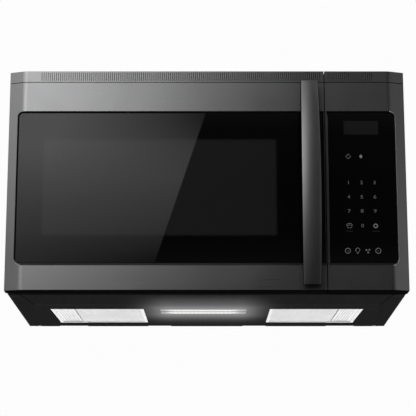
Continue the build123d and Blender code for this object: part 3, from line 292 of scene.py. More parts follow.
def brushed(tree, place, lines, strength):
    # lines stretches the grain: small along the brushing, large across it
    stretched = addNode(tree, "ShaderNodeMapping", Vector=place, Scale=lines).outputs[0]
    return useGroup(tree, brushedGrain, Vector=stretched, Scale=1.0, Strength=strength)


def moulded(tree, place, scale, strength):
    return useGroup(tree, mouldGrain, Vector=place, Scale=scale, Strength=strength)


def handMarks(tree, place, scale):
    return useGroup(tree, smudges, Vector=place, Scale=scale)["Mask"]


def addDust(tree, place, amount, shade, rough, dustColour, dustRoughness):
    settled = useGroup(tree, settledDust, Vector=place, Normal=surfaceNormal(tree), Amount=amount)["Mask"]
    rough = calc(tree, "MULTIPLY_ADD", settled, dustRoughness, rough, clamp=True)
    return mixColours(tree, settled, shade, dustColour), rough


levelLines, uprightLines = (14.0, 700.0, 1500.0), (1500.0, 700.0, 14.0)
blackStainlessLook = {
    "colour": (0.3, 0.301, 0.305), "wornColour": (0.85, 0.85, 0.86), "dimColour": (0.16, 0.16, 0.165),
    "roughness": 0.3, "handleRoughness": 0.38, "wornRoughness": 0.5, "dimRoughness": 0.45,
    "grainStrength": 0.045, "grainDepth": 0.00002, "grainBump": 0.25, "roughnessSpread": 0.03,
    "smudgeScale": 7.0, "smudgeRoughness": 0.05,
    # the matt black below is painted shade for faces that look down, sideways or into the door gap
    "shadeBlack": (0.004, 0.004, 0.004), "shadeRoughness": 0.5,
    "under": (-0.95, -0.85), "underHandle": (-0.6, -0.4), "sideways": (0.4, 0.6),
    "doorGapX": 0.226, "doorGapHalf": 0.0011, "gapFacing": 0.9,
    "sillZ": (0.046, 0.0519), "sillEnd": 0.3645, "sillFacing": (0.25, 0.35), "sillPaintedShade": 0.2,
}


@asMaterial
def makeBlackStainless(tree, place, lines, colour, roughness, under, sideShade=0.0):
    look = blackStainlessLook
    grain = brushed(tree, place, lines, look["grainStrength"])
    shade = scaleColour(tree, look[colour], grain["Shade"])
    spread, middle = look["roughnessSpread"], look[roughness]
    uneven = remap(tree, grain["Height"], *noiseSpan, middle - spread, middle + spread)
    hands = handMarks(tree, place, look["smudgeScale"])
    rough = calc(tree, "MULTIPLY_ADD", hands, look["smudgeRoughness"], uneven)
    # painted shade: faces looking down, the faces that face each other across the gap beside the door and,
    # on the handle, the faces looking sideways are painted matt black where shade falls
    facing = axes(tree, surfaceNormal(tree))
    sideways = calc(tree, "ABSOLUTE", facing[0])
    x, _, z = axes(tree, place)
    atGap = calc(tree, "LESS_THAN", distance(tree, x, look["doorGapX"]), look["doorGapHalf"])
    inGap = multiply(tree, atGap, calc(tree, "GREATER_THAN", sideways, look["gapFacing"]))
    below = remap(tree, facing[2], *look[under], 1.0, 0.0)
    beside = remap(tree, sideways, *look["sideways"], 0.0, sideShade)
    paintedShade = calc(tree, "MAXIMUM", below, calc(tree, "MAXIMUM", inGap, beside))
    # painted shade: the sloped sill under the glass is painted darker than the face
    sillLow, sillHigh = look["sillZ"]
    atSill = multiply(
        tree,
        remap(tree, facing[2], *look["sillFacing"]),
        calc(tree, "LESS_THAN", calc(tree, "ABSOLUTE", x), look["sillEnd"]),
        calc(tree, "GREATER_THAN", z, sillLow),
        calc(tree, "LESS_THAN", z, sillHigh),
    )
    shade = scaleColour(tree, shade, between(tree, atSill, 1.0, look["sillPaintedShade"]))
    rough = calc(tree, "MULTIPLY_ADD", paintedShade, look["shadeRoughness"], rough)
    dress(tree, Base_Color=mixColours(tree, paintedShade, shade, look["shadeBlack"]), Roughness=rough)
    dress(tree, Metallic=minus(tree, 1.0, paintedShade), Specular_IOR_Level=0.0)
    bump(tree, grain["Height"], look["grainBump"], look["grainDepth"])


frontMetal = makeBlackStainless("blackStainlessFront", levelLines, "colour", "roughness", "under")
# the handle's sideways faces are painted black as well, as painted shade
handleMetal = makeBlackStainless(
    "blackStainlessHandle", uprightLines, "colour", "handleRoughness", "underHandle", sideShade=1.0
)
# a much brighter copy of the steel: a painted highlight for the opening's edge
highlightEdgeMetal = makeBlackStainless("wornBlackEdge", uprightLines, "wornColour", "wornRoughness", "under")
# a darker copy of the steel: painted shade for the strips beside the seam
dimMetal = makeBlackStainless("dimBlackEdge", uprightLines, "dimColour", "dimRoughness", "under")

glassLook = {
    "colour": (0.0008, 0.0008, 0.0009), "roughness": (0.015, 0.035), "ior": 1.5, "dotShade": 0.6,
    "windowColour": (0.012, 0.012, 0.0125), "displayColour": (0.0085, 0.0085, 0.0092), "smudgeScale": 6.0,
}
windowDots = {"Pitch": 0.0022, "Radius": 0.26}
windowPrint = {"Middle": (-0.0895, 0.0, 0.1985), "Half": (0.2215, 1.0, 0.0935), "Softness": 0.004}
displayPrint = {"Middle": (0.295, 0.0, 0.3155), "Half": (0.033, 1.0, 0.0135), "Softness": 0.0012}


@asMaterial
def makeBlackGlass(tree, place, area, colour, dots=None):
    look = glassLook
    field = useGroup(tree, printedField, Vector=place, **area)["Mask"]
    if dots:
        dot = useGroup(tree, dotScreen, Vector=place, **dots)["Mask"]
        field = multiply(tree, field, between(tree, dot, 1.0, look["dotShade"]))
    rough = between(tree, handMarks(tree, place, look["smudgeScale"]), *look["roughness"])
    colour = mixColours(tree, field, look["colour"], look[colour])
    dress(tree, Base_Color=colour, Roughness=rough, IOR=look["ior"])


paintLook = {
    "grainStrength": 0.1, "grainBump": 0.3, "smudgeScale": 8.0, "smudgeRoughness": 0.08,
    "dustColour": (0.33, 0.32, 0.3), "dustRoughness": 0.3,
}


@asMaterial
def makePaint(tree, place, colour, roughness, specular=0.5, grainScale=900.0, grainDepth=0.00004, dust=0.0):
    look = paintLook
    grain = moulded(tree, place, grainScale, look["grainStrength"])
    shade = scaleColour(tree, colour, grain["Shade"])
    hands = handMarks(tree, place, look["smudgeScale"])
    rough = between(tree, hands, roughness, roughness + look["smudgeRoughness"])
    if dust:
        shade, rough = addDust(tree, place, dust, shade, rough, look["dustColour"], look["dustRoughness"])
    dress(tree, Base_Color=shade, Roughness=rough, Specular_IOR_Level=specular)
    bump(tree, grain["Height"], look["grainBump"], grainDepth)


panLook = {
    "colour": (0.021, 0.021, 0.022), "roughness": (0.62, 0.7), "grainScale": 900.0, "grainDepth": 0.00004,
    "crestY": -0.3508, "crestWidth": 0.0016, "crestHighlightLevel": 0.5,
    "mitreFront": -0.377, "mitreSide": 0.356, "mitreEnd": -0.351, "mitreHalf": 0.0011, "mitreShade": 0.15,
    "doorShadow": (-0.3768, -0.3752), "doorShade": 0.1,
    "haloLevel": 0.2725, "haloFade": (-0.376, -0.351),
}
haloArea = {"Middle": (-0.0065, -0.2475, 0.0), "Half": (0.0665, 0.0345, 1.0), "Reach": (0.034, 0.073, 1.0)}


@asMaterial
def makePan(tree, place):
    # matt black paint with a painted highlight along the crest, and the lit lamp's soft halo painted round
    # the lens as a glow
    look = panLook
    grain = moulded(tree, place, look["grainScale"], paintLook["grainStrength"])
    x, y, _ = axes(tree, place)
    crestWidth = look["crestWidth"]
    # a painted highlight: a lighter line along the crest
    crestHighlight = remap(tree, distance(tree, y, look["crestY"]), crestWidth / 2, crestWidth, 1.0, 0.0)
    shade = calc(tree, "MULTIPLY_ADD", crestHighlight, look["crestHighlightLevel"], grain["Shade"])
    # a dark line down each mitred front corner, and the shadow of the door along the front
    inward = minus(tree, look["mitreSide"], calc(tree, "ABSOLUTE", x))
    offLine = distance(tree, inward, minus(tree, y, look["mitreFront"]))
    line = remap(tree, offLine, look["mitreHalf"], 2 * look["mitreHalf"], 1.0, 0.0)
    line = multiply(tree, line, calc(tree, "LESS_THAN", y, look["mitreEnd"]))
    shade = multiply(tree, shade, between(tree, line, 1.0, look["mitreShade"]))
    shade = multiply(tree, shade, remap(tree, y, *look["doorShadow"], look["doorShade"], 1.0))
    # painted light: the lamp's halo is a glow in the pan's own emission
    halo = useGroup(tree, lampHalo, Vector=place, **haloArea)["Mask"]
    glow = multiply(tree, halo, remap(tree, y, *look["haloFade"]), look["haloLevel"])
    rough = between(tree, handMarks(tree, place, paintLook["smudgeScale"]), *look["roughness"])
    dress(tree, Base_Color=scaleColour(tree, look["colour"], shade), Roughness=rough)
    dress(tree, Specular_IOR_Level=0.0, Emission_Color=glow, Emission_Strength=1.0)
    bump(tree, grain["Height"], paintLook["grainBump"], look["grainDepth"])


sheetLook = {
    "cellScale": 110.0, "smoother": 0.06, "rougher": 0.08, "bump": 0.12, "depth": 0.00005,
    "dustColour": (0.42, 0.41, 0.39), "dustRoughness": 0.4,
}


@asMaterial
def makeSheetMetal(tree, place, colour, roughness, crystals=0.14, dust=0.0):
    look = sheetLook
    zinc = useGroup(tree, spangle, Vector=place, Scale=look["cellScale"], Strength=crystals)
    shade = scaleColour(tree, colour, zinc["Shade"])
    rough = between(tree, zinc["Gloss"], roughness - look["smoother"], roughness + look["rougher"])
    if dust:
        shade, rough = addDust(tree, place, dust, shade, rough, look["dustColour"], look["dustRoughness"])
    dress(tree, Base_Color=shade, Roughness=rough, Metallic=1.0)
    bump(tree, zinc["Shade"], look["bump"], look["depth"])


brightLook = {"grainStrength": 0.08, "spread": 0.05, "bump": 0.2, "depth": 0.00003}


@asMaterial
def makeBrightMetal(tree, place, colour, roughness, lines=(90.0, 900.0, 900.0)):
    look = brightLook
    grain = brushed(tree, place, lines, look["grainStrength"])
    rough = remap(tree, grain["Height"], *noiseSpan, roughness - look["spread"], roughness + look["spread"])
    dress(tree, Base_Color=scaleColour(tree, colour, grain["Shade"]), Roughness=rough, Metallic=1.0)
    bump(tree, grain["Height"], look["bump"], look["depth"])


screenLook = {
    "sheet": (0.05, 0.05, 0.05), "hole": (0.004, 0.004, 0.004), "roughness": (0.45, 0.9),
    "bump": 0.6, "depth": 0.0002,
}
screenHoles = {"Pitch": 0.0026, "Radius": 0.28}


@asMaterial
def makePerforated(tree, place):
    # black sheet with rows of round holes, in the finish only
    look = screenLook
    holes = useGroup(tree, dotScreen, Vector=place, **screenHoles)["Mask"]
    colour = mixColours(tree, holes, look["sheet"], look["hole"])
    dress(tree, Base_Color=colour, Roughness=between(tree, holes, *look["roughness"]))
    bump(tree, minus(tree, 1.0, holes), look["bump"], look["depth"])


clearLook = {
    "tint": (0.86, 0.93, 0.91), "roughness": (0.03, 0.09), "smudgeScale": 14.0,
    "smudgeTint": (0.92, 0.94, 0.93), "smudgeShare": 0.3,
}


@asMaterial
def makeClearGlass(tree, place):
    look = clearLook
    hands = handMarks(tree, place, look["smudgeScale"])
    colour = mixColours(tree, multiply(tree, hands, look["smudgeShare"]), look["tint"], look["smudgeTint"])
    dress(tree, Base_Color=colour, Roughness=between(tree, hands, *look["roughness"]))
    dress(tree, Transmission_Weight=1.0, IOR=glassLook["ior"])


filterLook = {
    "colour": (0.97, 0.97, 0.97), "lines": (500.0, 60.0, 500.0), "roughness": (0.38, 0.48), "metallic": 0.6,
    "grease": (0.8, 0.79, 0.76), "greaseShare": 0.1, "greaseScale": 16.0,
    "grainStrength": 0.05, "bump": 0.3, "depth": 0.00008,
}


@asMaterial
def makeFilterMetal(tree, place):
    # bright rolled aluminium with a fine pressed texture
    look = filterLook
    grain = brushed(tree, place, look["lines"], look["grainStrength"])
    grease = handMarks(tree, place, look["greaseScale"])
    shade = scaleColour(tree, look["colour"], grain["Shade"])
    shade = mixColours(tree, multiply(tree, grease, look["greaseShare"]), shade, look["grease"])
    rough = between(tree, grease, *look["roughness"])
    dress(tree, Base_Color=shade, Roughness=rough, Metallic=look["metallic"])
    bump(tree, grain["Height"], look["bump"], look["depth"])


lensLook = {
    "colour": (0.34, 0.345, 0.35), "roughness": (0.35, 0.5), "levels": (0.02, 0.22),
    "frostScale": 420.0, "frostStrength": 0.04, "bump": 0.2, "depth": 0.0001,
}
lightLook = {"colour": (1.0, 0.99, 0.97), "strength": 0.56, "chipScale": 38.0, "chips": (0.85, 1.0)}
lensGlow = {"Middle": (-0.0065, 0.0, 0.0), "Half": (0.072, 1.0, 1.0), "Softness": 0.016}


@asMaterial
def makeLens(tree, place):
    # frosted cover lit from behind by the two bars, dimmer at the ends
    look = lensLook
    frost = moulded(tree, place, look["frostScale"], look["frostStrength"])
    glow = useGroup(tree, printedField, Vector=place, **lensGlow)["Mask"]
    glow = scaleColour(tree, lightLook["colour"], between(tree, glow, *look["levels"]))
    rough = between(tree, frost["Height"], *look["roughness"])
    dress(tree, Base_Color=scaleColour(tree, look["colour"], frost["Shade"]), Roughness=rough)
    dress(tree, Emission_Color=glow, Emission_Strength=1.0)
    bump(tree, frost["Height"], look["bump"], look["depth"])


@asMaterial
def makeLight(tree, place):
    look = lightLook
    chips = addNode(tree, "ShaderNodeTexWave", Vector=place, Scale=look["chipScale"]).outputs[1]
    glow = scaleColour(tree, look["colour"], between(tree, chips, *look["chips"]))
    dress(tree, Base_Color=(*(part / 2 for part in look["colour"]), 1.0))
    dress(tree, Emission_Color=glow, Emission_Strength=look["strength"])


inkLook = {"grainScale": 1500.0, "grainStrength": 0.12, "roughness": (0.3, 0.4)}


@asMaterial
def makePrint(tree, place, colour):
    # pale ink printed on the touch glass
    grain = moulded(tree, place, inkLook["grainScale"], inkLook["grainStrength"])
    rough = between(tree, grain["Height"], *inkLook["roughness"])
    dress(tree, Base_Color=scaleColour(tree, colour, grain["Shade"]), Roughness=rough)


sealRubber = makePaint("sealRubber", (0.003, 0.003, 0.003), 0.75, specular=0.0)
filterMetal = makeFilterMetal("filterAluminium")
lightBars = makeLight("lightBars")
inkGrey = makePrint("keyInk", (0.17, 0.17, 0.175))
inkDim = makePrint("keyInkDim", (0.095, 0.095, 0.098))
inkFaint = makePrint("keyInkFaint", (0.025, 0.025, 0.026))

finishes = {
    "black_stainless": frontMetal,
    "black_glass": makeBlackGlass("doorGlass", windowPrint, "windowColour", windowDots),
    "case_paint": makePaint("satinBlackCase", (0.018, 0.018, 0.019), 0.55, specular=0.05, dust=0.1),
    "galvanised": makeSheetMetal("galvanisedSheet", (0.55, 0.56, 0.57), 0.38, dust=0.1),
    "cavity_paint": makePaint("cavityEnamel", (0.6, 0.6, 0.58), 0.32, grainScale=1200.0),
    "screen_steel": makePerforated("perforatedScreen"),
    "zinc_screw": makeBrightMetal("zincPlate", (0.42, 0.42, 0.43), 0.35),
    "black_plastic": makePaint("blackPlastic", (0.028, 0.028, 0.029), 0.48, grainScale=700.0),
    "white_plastic": makePaint("whitePlastic", (0.78, 0.78, 0.76), 0.4, grainScale=700.0),
    "filter_aluminium": filterMetal,
    "carbon": makePaint("carbonPad", (0.02, 0.02, 0.02), 0.9, grainScale=260.0, grainDepth=0.0008),
    "lens_plastic": makeLens("frostedLens"),
    "lamp_steel": makePaint("whiteLampSteel", (0.82, 0.82, 0.81), 0.5),
    "board": makePaint("circuitBoard", (0.03, 0.13, 0.06), 0.35, grainScale=300.0),
    "tray_glass": makeClearGlass("trayGlass"),
    "mica": makePaint("micaSheet", (0.52, 0.43, 0.3), 0.45, grainScale=220.0),
    "motor_steel": makeSheetMetal("motorSteel", (0.48, 0.48, 0.49), 0.42, crystals=0.05),
    "core_steel": makeBrightMetal("laminatedCore", (0.2, 0.18, 0.17), 0.55, lines=(90.0, 90.0, 2600.0)),
    "blower_plastic": makePaint("blowerPlastic", (0.09, 0.09, 0.092), 0.5),
}
ownFinish = {
    "control_glass": makeBlackGlass("touchGlass", displayPrint, "displayColour"),
    "base_pan": makePan("mattBlackPan"),
    "rear_panel": makePaint("mattBlackSteel", (0.022, 0.022, 0.023), 0.6, specular=0.0, dust=0.05),
    "front_plate": finishes["case_paint"],
    "handle_posts": handleMetal,
    "handle_bar": handleMetal,
}
print("materials built:", len(bpy.data.materials))

for entry in frame["record"]["subparts"]:
    cadNode = frame["nodes"][entry["node"]]
    cadNode.data.materials.clear()
    cadNode.data.materials.append(ownFinish.get(entry["node"], finishes[entry["material_slot"]]))
print("frame nodes dressed")


# Mesh helpers

def addObject(name, data):
    made = bpy.data.objects.new(name, data)
    bpy.context.scene.collection.objects.link(made)
    return made


def meshPiece(name, points, faces, material, body=None, smooth=True):
    mesh = bpy.data.meshes.new(name)
    mesh.from_pydata(points.reshape(-1, 3).tolist(), [], faces)
    mesh.polygons.foreach_set("use_smooth", [smooth] * len(mesh.polygons))
    mesh.update()
    mesh.materials.append(material)
    piece = addObject(name, mesh)
    if body:
        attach(piece, body)
    return piece


def gridFaces(rows, columns, closed, start=0, flip=False):
    # quads between neighbouring rows; closed joins the last column to the first
    reach = columns if closed else columns - 1
    row, column = np.meshgrid(np.arange(rows - 1), np.arange(reach), indexing="ij")
    here, after = row * columns + column, row * columns + (column + 1) % columns
    corners = np.stack((here, after, after + columns, here + columns), -1)
    if flip:
        corners = corners[..., ::-1]
    return (corners.reshape(-1, 4) + start).tolist()


def acrossWay(way):
    # unit vectors square to each way, on its left
    way = way / np.linalg.norm(way, axis=1)[:, None]
    return np.stack((-way[:, 1], way[:, 0]), -1)


def tubeFaces(rows, columns, start=0, flip=False):
    # closed rings joined into a tube, with one flat face over each end
    first = list(range(start, start + columns))[::-1]
    last = [corner + (rows - 1) * columns for corner in first[::-1]]
    ends = [first[::-1], last[::-1]] if flip else [first, last]
    return gridFaces(rows, columns, True, start, flip) + ends


# Handle: a crowned profile carried up a shallow bow

handleSize = {
    "middleX": 196.0, "low": 6.0, "high": 402.0, "faceY": -421.0,
    "endReach": 25.0, "middleReach": 50.0, "thickness": 14.0,
    "endHalfWidth": 16.7, "middleHalfWidth": 18.7,
    "crown": 1.8, "cornerRadius": 2.6, "rearRadius": 3.0,
    "rows": 81, "crownSteps": 25, "cornerSteps": 7,
}


def handleProfile():
    # x as a share of the half width, y behind the front's middle: crown, corners, sides, rounded back
    size = handleSize
    halfWidth, radius, crown, small = (
        size[name] for name in ("middleHalfWidth", "cornerRadius", "crown", "rearRadius")
    )
    flat = 1 - radius / halfWidth
    across = np.linspace(-flat, flat, size["crownSteps"])
    front = np.stack((across, crown * (across / flat) ** 2), -1)
    slope = math.atan(2 * crown / (flat * halfWidth))
    turn = np.linspace(slope, math.pi / 2, size["cornerSteps"])[1:]
    outward = (np.sin(turn) - math.sin(slope)) * (1 - flat) / (1 - math.sin(slope))
    corner = np.stack((flat + outward, crown + radius * (math.cos(slope) - np.cos(turn))), -1)
    turn = np.linspace(0, math.pi / 2, size["cornerSteps"])
    backX = 1 - (1 - np.cos(turn)) * small / halfWidth
    back = np.stack((backX, size["thickness"] - small + small * np.sin(turn)), -1)
    right = np.concatenate((corner, back))
    return np.concatenate((front, right, right[::-1] * (-1, 1)))


def buildHandle():
    # the front follows a circle through both ends and the middle, where the profile is widest
    size = handleSize
    half = (size["high"] - size["low"]) / 2
    rise = size["middleReach"] - size["endReach"]
    bow = (half * half + rise * rise) / (2 * rise)
    along = np.linspace(-1, 1, size["rows"])
    reach = size["middleReach"] - (bow - np.sqrt(bow * bow - (along * half) ** 2))
    widening = (size["middleHalfWidth"] - size["endHalfWidth"]) * (1 - along**2)
    profile = handleProfile()
    rows, columns = len(along), len(profile)
    points = np.empty((rows, columns, 3))
    points[..., 0] = size["middleX"] + (size["endHalfWidth"] + widening)[:, None] * profile[:, 0]
    points[..., 1] = size["faceY"] - reach[:, None] + profile[:, 1]
    points[..., 2] = (size["low"] + size["high"]) / 2 + along[:, None] * half
    faces = tubeFaces(rows, columns)
    piece = meshPiece("bowHandle", points * mm, faces, handleMetal, "door")
    # the rings round both ends are sharp
    edges = np.empty(2 * len(piece.data.edges), int)
    piece.data.edges.foreach_get("vertices", edges)
    ring = edges.reshape(-1, 2) // columns
    sharp = (ring[:, 0] == ring[:, 1]) & np.isin(ring[:, 0], (0, rows - 1))
    piece.data.edges.foreach_set("use_edge_sharp", sharp)
    return piece


bowHandle = buildHandle()
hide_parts("handle_bar")
print("handle built")


# Rubber seal round the glass, its deep black also standing in for the shade in the recess; the rounded edge
# of the opening and the strips at the seam

openingSize = {
    "faceY": -421.0, "low": 46.5, "high": 348.3, "radius": 11.0,
    "glassLow": 51.9, "glassHigh": 344.5, "glassRadius": 8.3, "sillLow": 51.3,
    # outer and inner half width of each seal, and where it starts
    "door": (362.9, 359.9), "case": (360.3, 358.6), "doorStart": 224.8, "caseStart": 228.8,
    "sealFront": -419.3, "sealBack": -415.1,
    # front, back, left and right of each strip, and its distance from the opening's ends
    "doorStrip": (-421.15, -420.0, 223.9, 225.0), "panelStrip": (-421.15, -420.4, 227.2, 228.7),
    "stripEnd": 0.2,
    "bead": 0.9, "beadX": 360.7, "beadInset": 0.6, "beadForward": 0.1, "beadSides": 8,
    "creaseX": 350.0, "bevelRun": 30.0, "bevelDepth": 10.0, "arcSteps": 9,
}


def openPath(start, half, low, high, radius, side):
    # along the top from start, round two corners and back; side is -1 for the door
    turn = np.linspace(0, math.pi / 2, openingSize["arcSteps"])
    inX, inward = half - radius, radius * np.stack((np.sin(turn), np.cos(turn)), -1)
    upper = (inX, high - radius) + inward
    lower = (inX, low + radius) + inward[:, ::-1] * (1, -1)
    return np.concatenate((((side * start, high),), upper, lower, ((side * start, low),))) * (side, 1)


def buildSeal(name, body, side):
    # a flat band between the opening and the glass, carried back as a four-cornered ring; its deep black is
    # also painted shade in the recess
    size = openingSize
    outerHalf, innerHalf = size[body]
    start = size[body + "Start"]
    outer = openPath(start, outerHalf, size["sillLow"], size["high"], size["radius"], side)
    inner = openPath(start, innerHalf, size["glassLow"], size["glassHigh"], size["glassRadius"], side)
    ring = np.empty((len(outer), 4, 3))
    ring[:, (0, 3), ::2], ring[:, (1, 2), ::2] = outer[:, None], inner[:, None]
    ring[:, :2, 1], ring[:, 2:, 1] = size["sealFront"], size["sealBack"]
    faces = tubeFaces(len(outer), 4, flip=side < 0)
    meshPiece(name, ring * mm, faces, sealRubber, body, smooth=False)


def buildBead(name, body):
    # a round bead along the opening, over the front face and its bevel; besides its real reflection, its
    # far brighter steel is a painted highlight
    size = openingSize
    low, high = size["low"] + size["beadInset"], size["high"] - size["beadInset"]
    path = openPath(0, size["beadX"], low, high, size["radius"], 1)[1:-1]
    onBevel = np.maximum(path[:, 0] - size["creaseX"], 0)
    face = size["faceY"] + onBevel * size["bevelDepth"] / size["bevelRun"] - size["beadForward"]
    across = -acrossWay(np.gradient(path, axis=0))
    turn = np.linspace(0, 2 * math.pi, size["beadSides"], endpoint=False)
    bead = np.empty((len(path), len(turn), 3))
    bead[..., ::2] = path[:, None] + across[:, None] * size["bead"] * np.cos(turn)[:, None]
    bead[..., 1] = face[:, None] + size["bead"] * np.sin(turn)
    meshPiece(name, bead * mm, tubeFaces(len(path), len(turn)), highlightEdgeMetal, body)


def buildStrip(name, body, strip):
    # a thin upright bar beside the seam, over the glass's end, in a darker copy of the steel as painted
    # shade
    size = openingSize
    front, back, left, right = strip
    bar = np.empty((2, 4, 3))
    bar[..., :2] = (left, front), (right, front), (right, back), (left, back)
    bar[..., 2] = (size["low"] + size["stripEnd"],), (size["high"] - size["stripEnd"],)
    meshPiece(name, bar * mm, tubeFaces(2, 4), dimMetal, body, smooth=False)


buildSeal("doorGlassSeal", "door", -1)
buildSeal("panelGlassSeal", "case", 1)
buildBead("panelOpeningEdge", "case")
buildStrip("doorSeamEdge", "door", openingSize["doorStrip"])
buildStrip("panelSeamEdge", "case", openingSize["panelStrip"])
print("seals and edges built")


# Printed keys on the touch glass

keyPrint = {
    "faceY": -419.05, "textSize": 9.384, "textWeight": 0.05, "textSteps": 4, "widen": 1.25, "stroke": 0.62,
    "columns": (269.2, 293.8, 318.6), "rows": (206.9, 178.9, 151.3, 122.8),
    "diamonds": ((269.6, 258.6), (293.7, 258.6)),
    "iconColumns": (265.3, 283.8, 303.0, 322.4), "iconRow": 74.8, "iconSize": 4.9,
    "bars": ((269.8, 112.6, 6.0), (318.8, 112.6, 7.5)), "barThick": 0.7,
}
# points (x, z) about the middle of each mark
markShape = {
    "diamond": ((4.7, 0), (0, 4.7), (-4.7, 0), (0, -4.7)),
    "bowl": ((-4.4, 1.4), (4.4, 1.4), (3.7, -3.8), (-3.7, -3.8)),
    "lid": ((-4.8, 3.0), (-2.6, 4.6), (2.6, 4.6), (4.8, 3.0)),
    "leftGrip": ((-6.4, 2.0), (-4.4, 0.8)), "rightGrip": ((4.4, 0.8), (6.4, 2.0)),
    "tick": ((-1.9, 0.3), (-0.3, -1.4), (2.0, 1.4)),
    "cap": ((-1.8, -3.6), (1.8, -3.6)), "capEnd": ((-1.3, -5.0), (1.3, -5.0)),
    "hands": ((-1.9, 2.2), (0, 0), (2.2, -0.6)),
    "stopSquash": (0.7, 0.9),
    "bulbRadius": 3.9, "bulbRise": 1.3, "bulbGap": 0.28 * math.pi,
    "wheelRadius": 3.5, "toothDepth": 0.4, "teeth": 8, "wheelSteps": 49,
    "blades": 3, "hubRadius": 0.8, "bladeLean": 0.12, "bladeSpread": (0.12, 0.34), "bladeSteps": 9,
}
# in strokes
markWeight = {
    "startMark": 1.4, "panMark": 1.3, "settingsMark": 2.4, "ringMark": 1.5, "ringTick": 1.0,
    "lampMark": 1.4, "clockMark": 1.5, "clockHands": 1.0,
}


def strokeMesh(lines, width):
    # each line is an array of points (x, z); a ribbon of the given width follows it
    points, faces, start = [], [], 0
    for line, closed in lines:
        line = np.asarray(line, float)
        beyond = np.pad(line, ((1, 1), (0, 0)), mode="wrap" if closed else "edge")
        side = acrossWay(beyond[2:] - beyond[:-2]) * width / 2
        points.append(np.stack((line - side, line + side), 1).reshape(-1, 2))
        count = len(line)
        here = np.arange(count if closed else count - 1) * 2
        after = (here + 2) % (2 * count)
        faces += (np.stack((here, after, after + 1, here + 1), -1) + start).tolist()
        start += 2 * count
    return np.concatenate(points), faces


def arc(radius, start=0.0, end=2 * math.pi, steps=33):
    turn = np.linspace(start, end, steps)
    return radius * np.stack((np.cos(turn), np.sin(turn)), -1)


def placeInk(name, flat, faces, ink=inkGrey):
    points = np.insert(flat, 1, keyPrint["faceY"], axis=1) * mm
    meshPiece(name, points, faces, ink, "case", smooth=False)


def drawMark(name, middle, *lines, ink=inkGrey):
    # a line given in square brackets of its own is closed
    placed = []
    for line in lines:
        closed = isinstance(line, list)
        placed.append((np.array(line[0] if closed else line) + middle, closed))
    placeInk(name, *strokeMesh(placed, markWeight[name] * keyPrint["stroke"]), ink)


def buildDigits():
    # outlines from the text tool, widened and moved as meshes
    columns, rows = keyPrint["columns"], keyPrint["rows"]
    for place, mark in [*enumerate("123456789"), (10, "0")]:
        letter = bpy.data.curves.new("digitShape" + mark, "FONT")
        letter.body = mark
        letter.align_x = letter.align_y = "CENTER"
        letter.size = keyPrint["textSize"] * mm
        letter.resolution_u = keyPrint["textSteps"]
        letter.offset = keyPrint["textWeight"] * mm
        holder = addObject("digitShape" + mark, letter)
        bpy.context.view_layer.update()
        shape = bpy.data.meshes.new_from_object(holder.evaluated_get(bpy.context.evaluated_depsgraph_get()))
        bpy.data.objects.remove(holder)
        flat = np.empty(len(shape.vertices) * 3)
        shape.vertices.foreach_get("co", flat)
        flat = flat.reshape(-1, 3)[:, :2] / mm * (keyPrint["widen"], 1)
        flat += columns[place % 3], rows[place // 3]
        placeInk("digit" + mark, flat, [list(face.vertices) for face in shape.polygons], inkDim)
        bpy.data.meshes.remove(shape)


def fanBlades(size):
    # each blade lies between two curves that turn and part as they leave the hub
    count, steps = markShape["blades"], markShape["bladeSteps"]
    base = math.pi / 2 + (np.arange(count) + 0.5) * 2 * math.pi / count
    reach = np.linspace(markShape["hubRadius"], size, steps)[:, None]
    inner, growth = markShape["bladeSpread"]
    spread = (inner + growth * reach / size) * (-1, 1)
    turn = base[:, None, None] + markShape["bladeLean"] * reach / size + spread
    blades = np.stack((reach * np.cos(turn), reach * np.sin(turn)), -1)
    faces = [face for blade in range(count) for face in gridFaces(steps, 2, False, 2 * steps * blade)]
    return blades.reshape(-1, 2), faces


def buildMarks():
    shape, size = markShape, keyPrint["iconSize"]
    columns, rows = keyPrint["columns"], keyPrint["rows"]
    startPlace, stopPlace = keyPrint["diamonds"]
    drawMark("startMark", startPlace, [shape["diamond"]])
    placeInk("stopMark", np.array(shape["diamond"]) * shape["stopSquash"] + stopPlace, [[0, 3, 2, 1]])
    pan = ([shape["bowl"]], shape["lid"], shape["leftGrip"], shape["rightGrip"])
    drawMark("panMark", (columns[0], rows[3]), *pan)
    # wheel with square teeth
    unit = arc(1, steps=shape["wheelSteps"])[:-1]
    turn = np.arctan2(unit[:, 1], unit[:, 0])
    rim = shape["wheelRadius"] + shape["toothDepth"] * np.sign(np.cos(shape["teeth"] * turn))
    drawMark("settingsMark", (columns[2], rows[3]), [rim[:, None] * unit])
    # plain bars where captions would stand
    bars = [(((x - half, z), (x + half, z)), False) for x, z, half in keyPrint["bars"]]
    placeInk("captionBars", *strokeMesh(bars, keyPrint["barThick"]), inkFaint)
    ringPlace, lampPlace, fanPlace, clockPlace = ((x, keyPrint["iconRow"]) for x in keyPrint["iconColumns"])
    drawMark("ringMark", ringPlace, [arc(size)[:-1]])
    drawMark("ringTick", ringPlace, shape["tick"], ink=inkDim)
    # lamp: a bulb, open below, and its cap
    bulb = arc(shape["bulbRadius"], -shape["bulbGap"], math.pi + shape["bulbGap"]) + (0, shape["bulbRise"])
    drawMark("lampMark", lampPlace, bulb, shape["cap"], shape["capEnd"])
    blades, faces = fanBlades(size)
    placeInk("fanMark", blades + fanPlace, faces)
    drawMark("clockMark", clockPlace, [arc(size)[:-1]])
    drawMark("clockHands", clockPlace, shape["hands"], ink=inkDim)


buildDigits()
buildMarks()
print("keys printed")


# Grease filters: expanded sheet in front of the pad

filterSheet = {
    "pivot": (0.0, -351.0, -16.8), "slope": math.atan2(16.8, 335.0),
    "nearX": 130.2, "farX": 261.0, "lowY": 70.4, "highY": 293.4,
    "depth": 2.0, "pitchX": 6.5, "pitchY": 3.6, "strand": 0.9, "sheet": 0.35, "tilt": 0.5,
    "slack": 0.01,
}


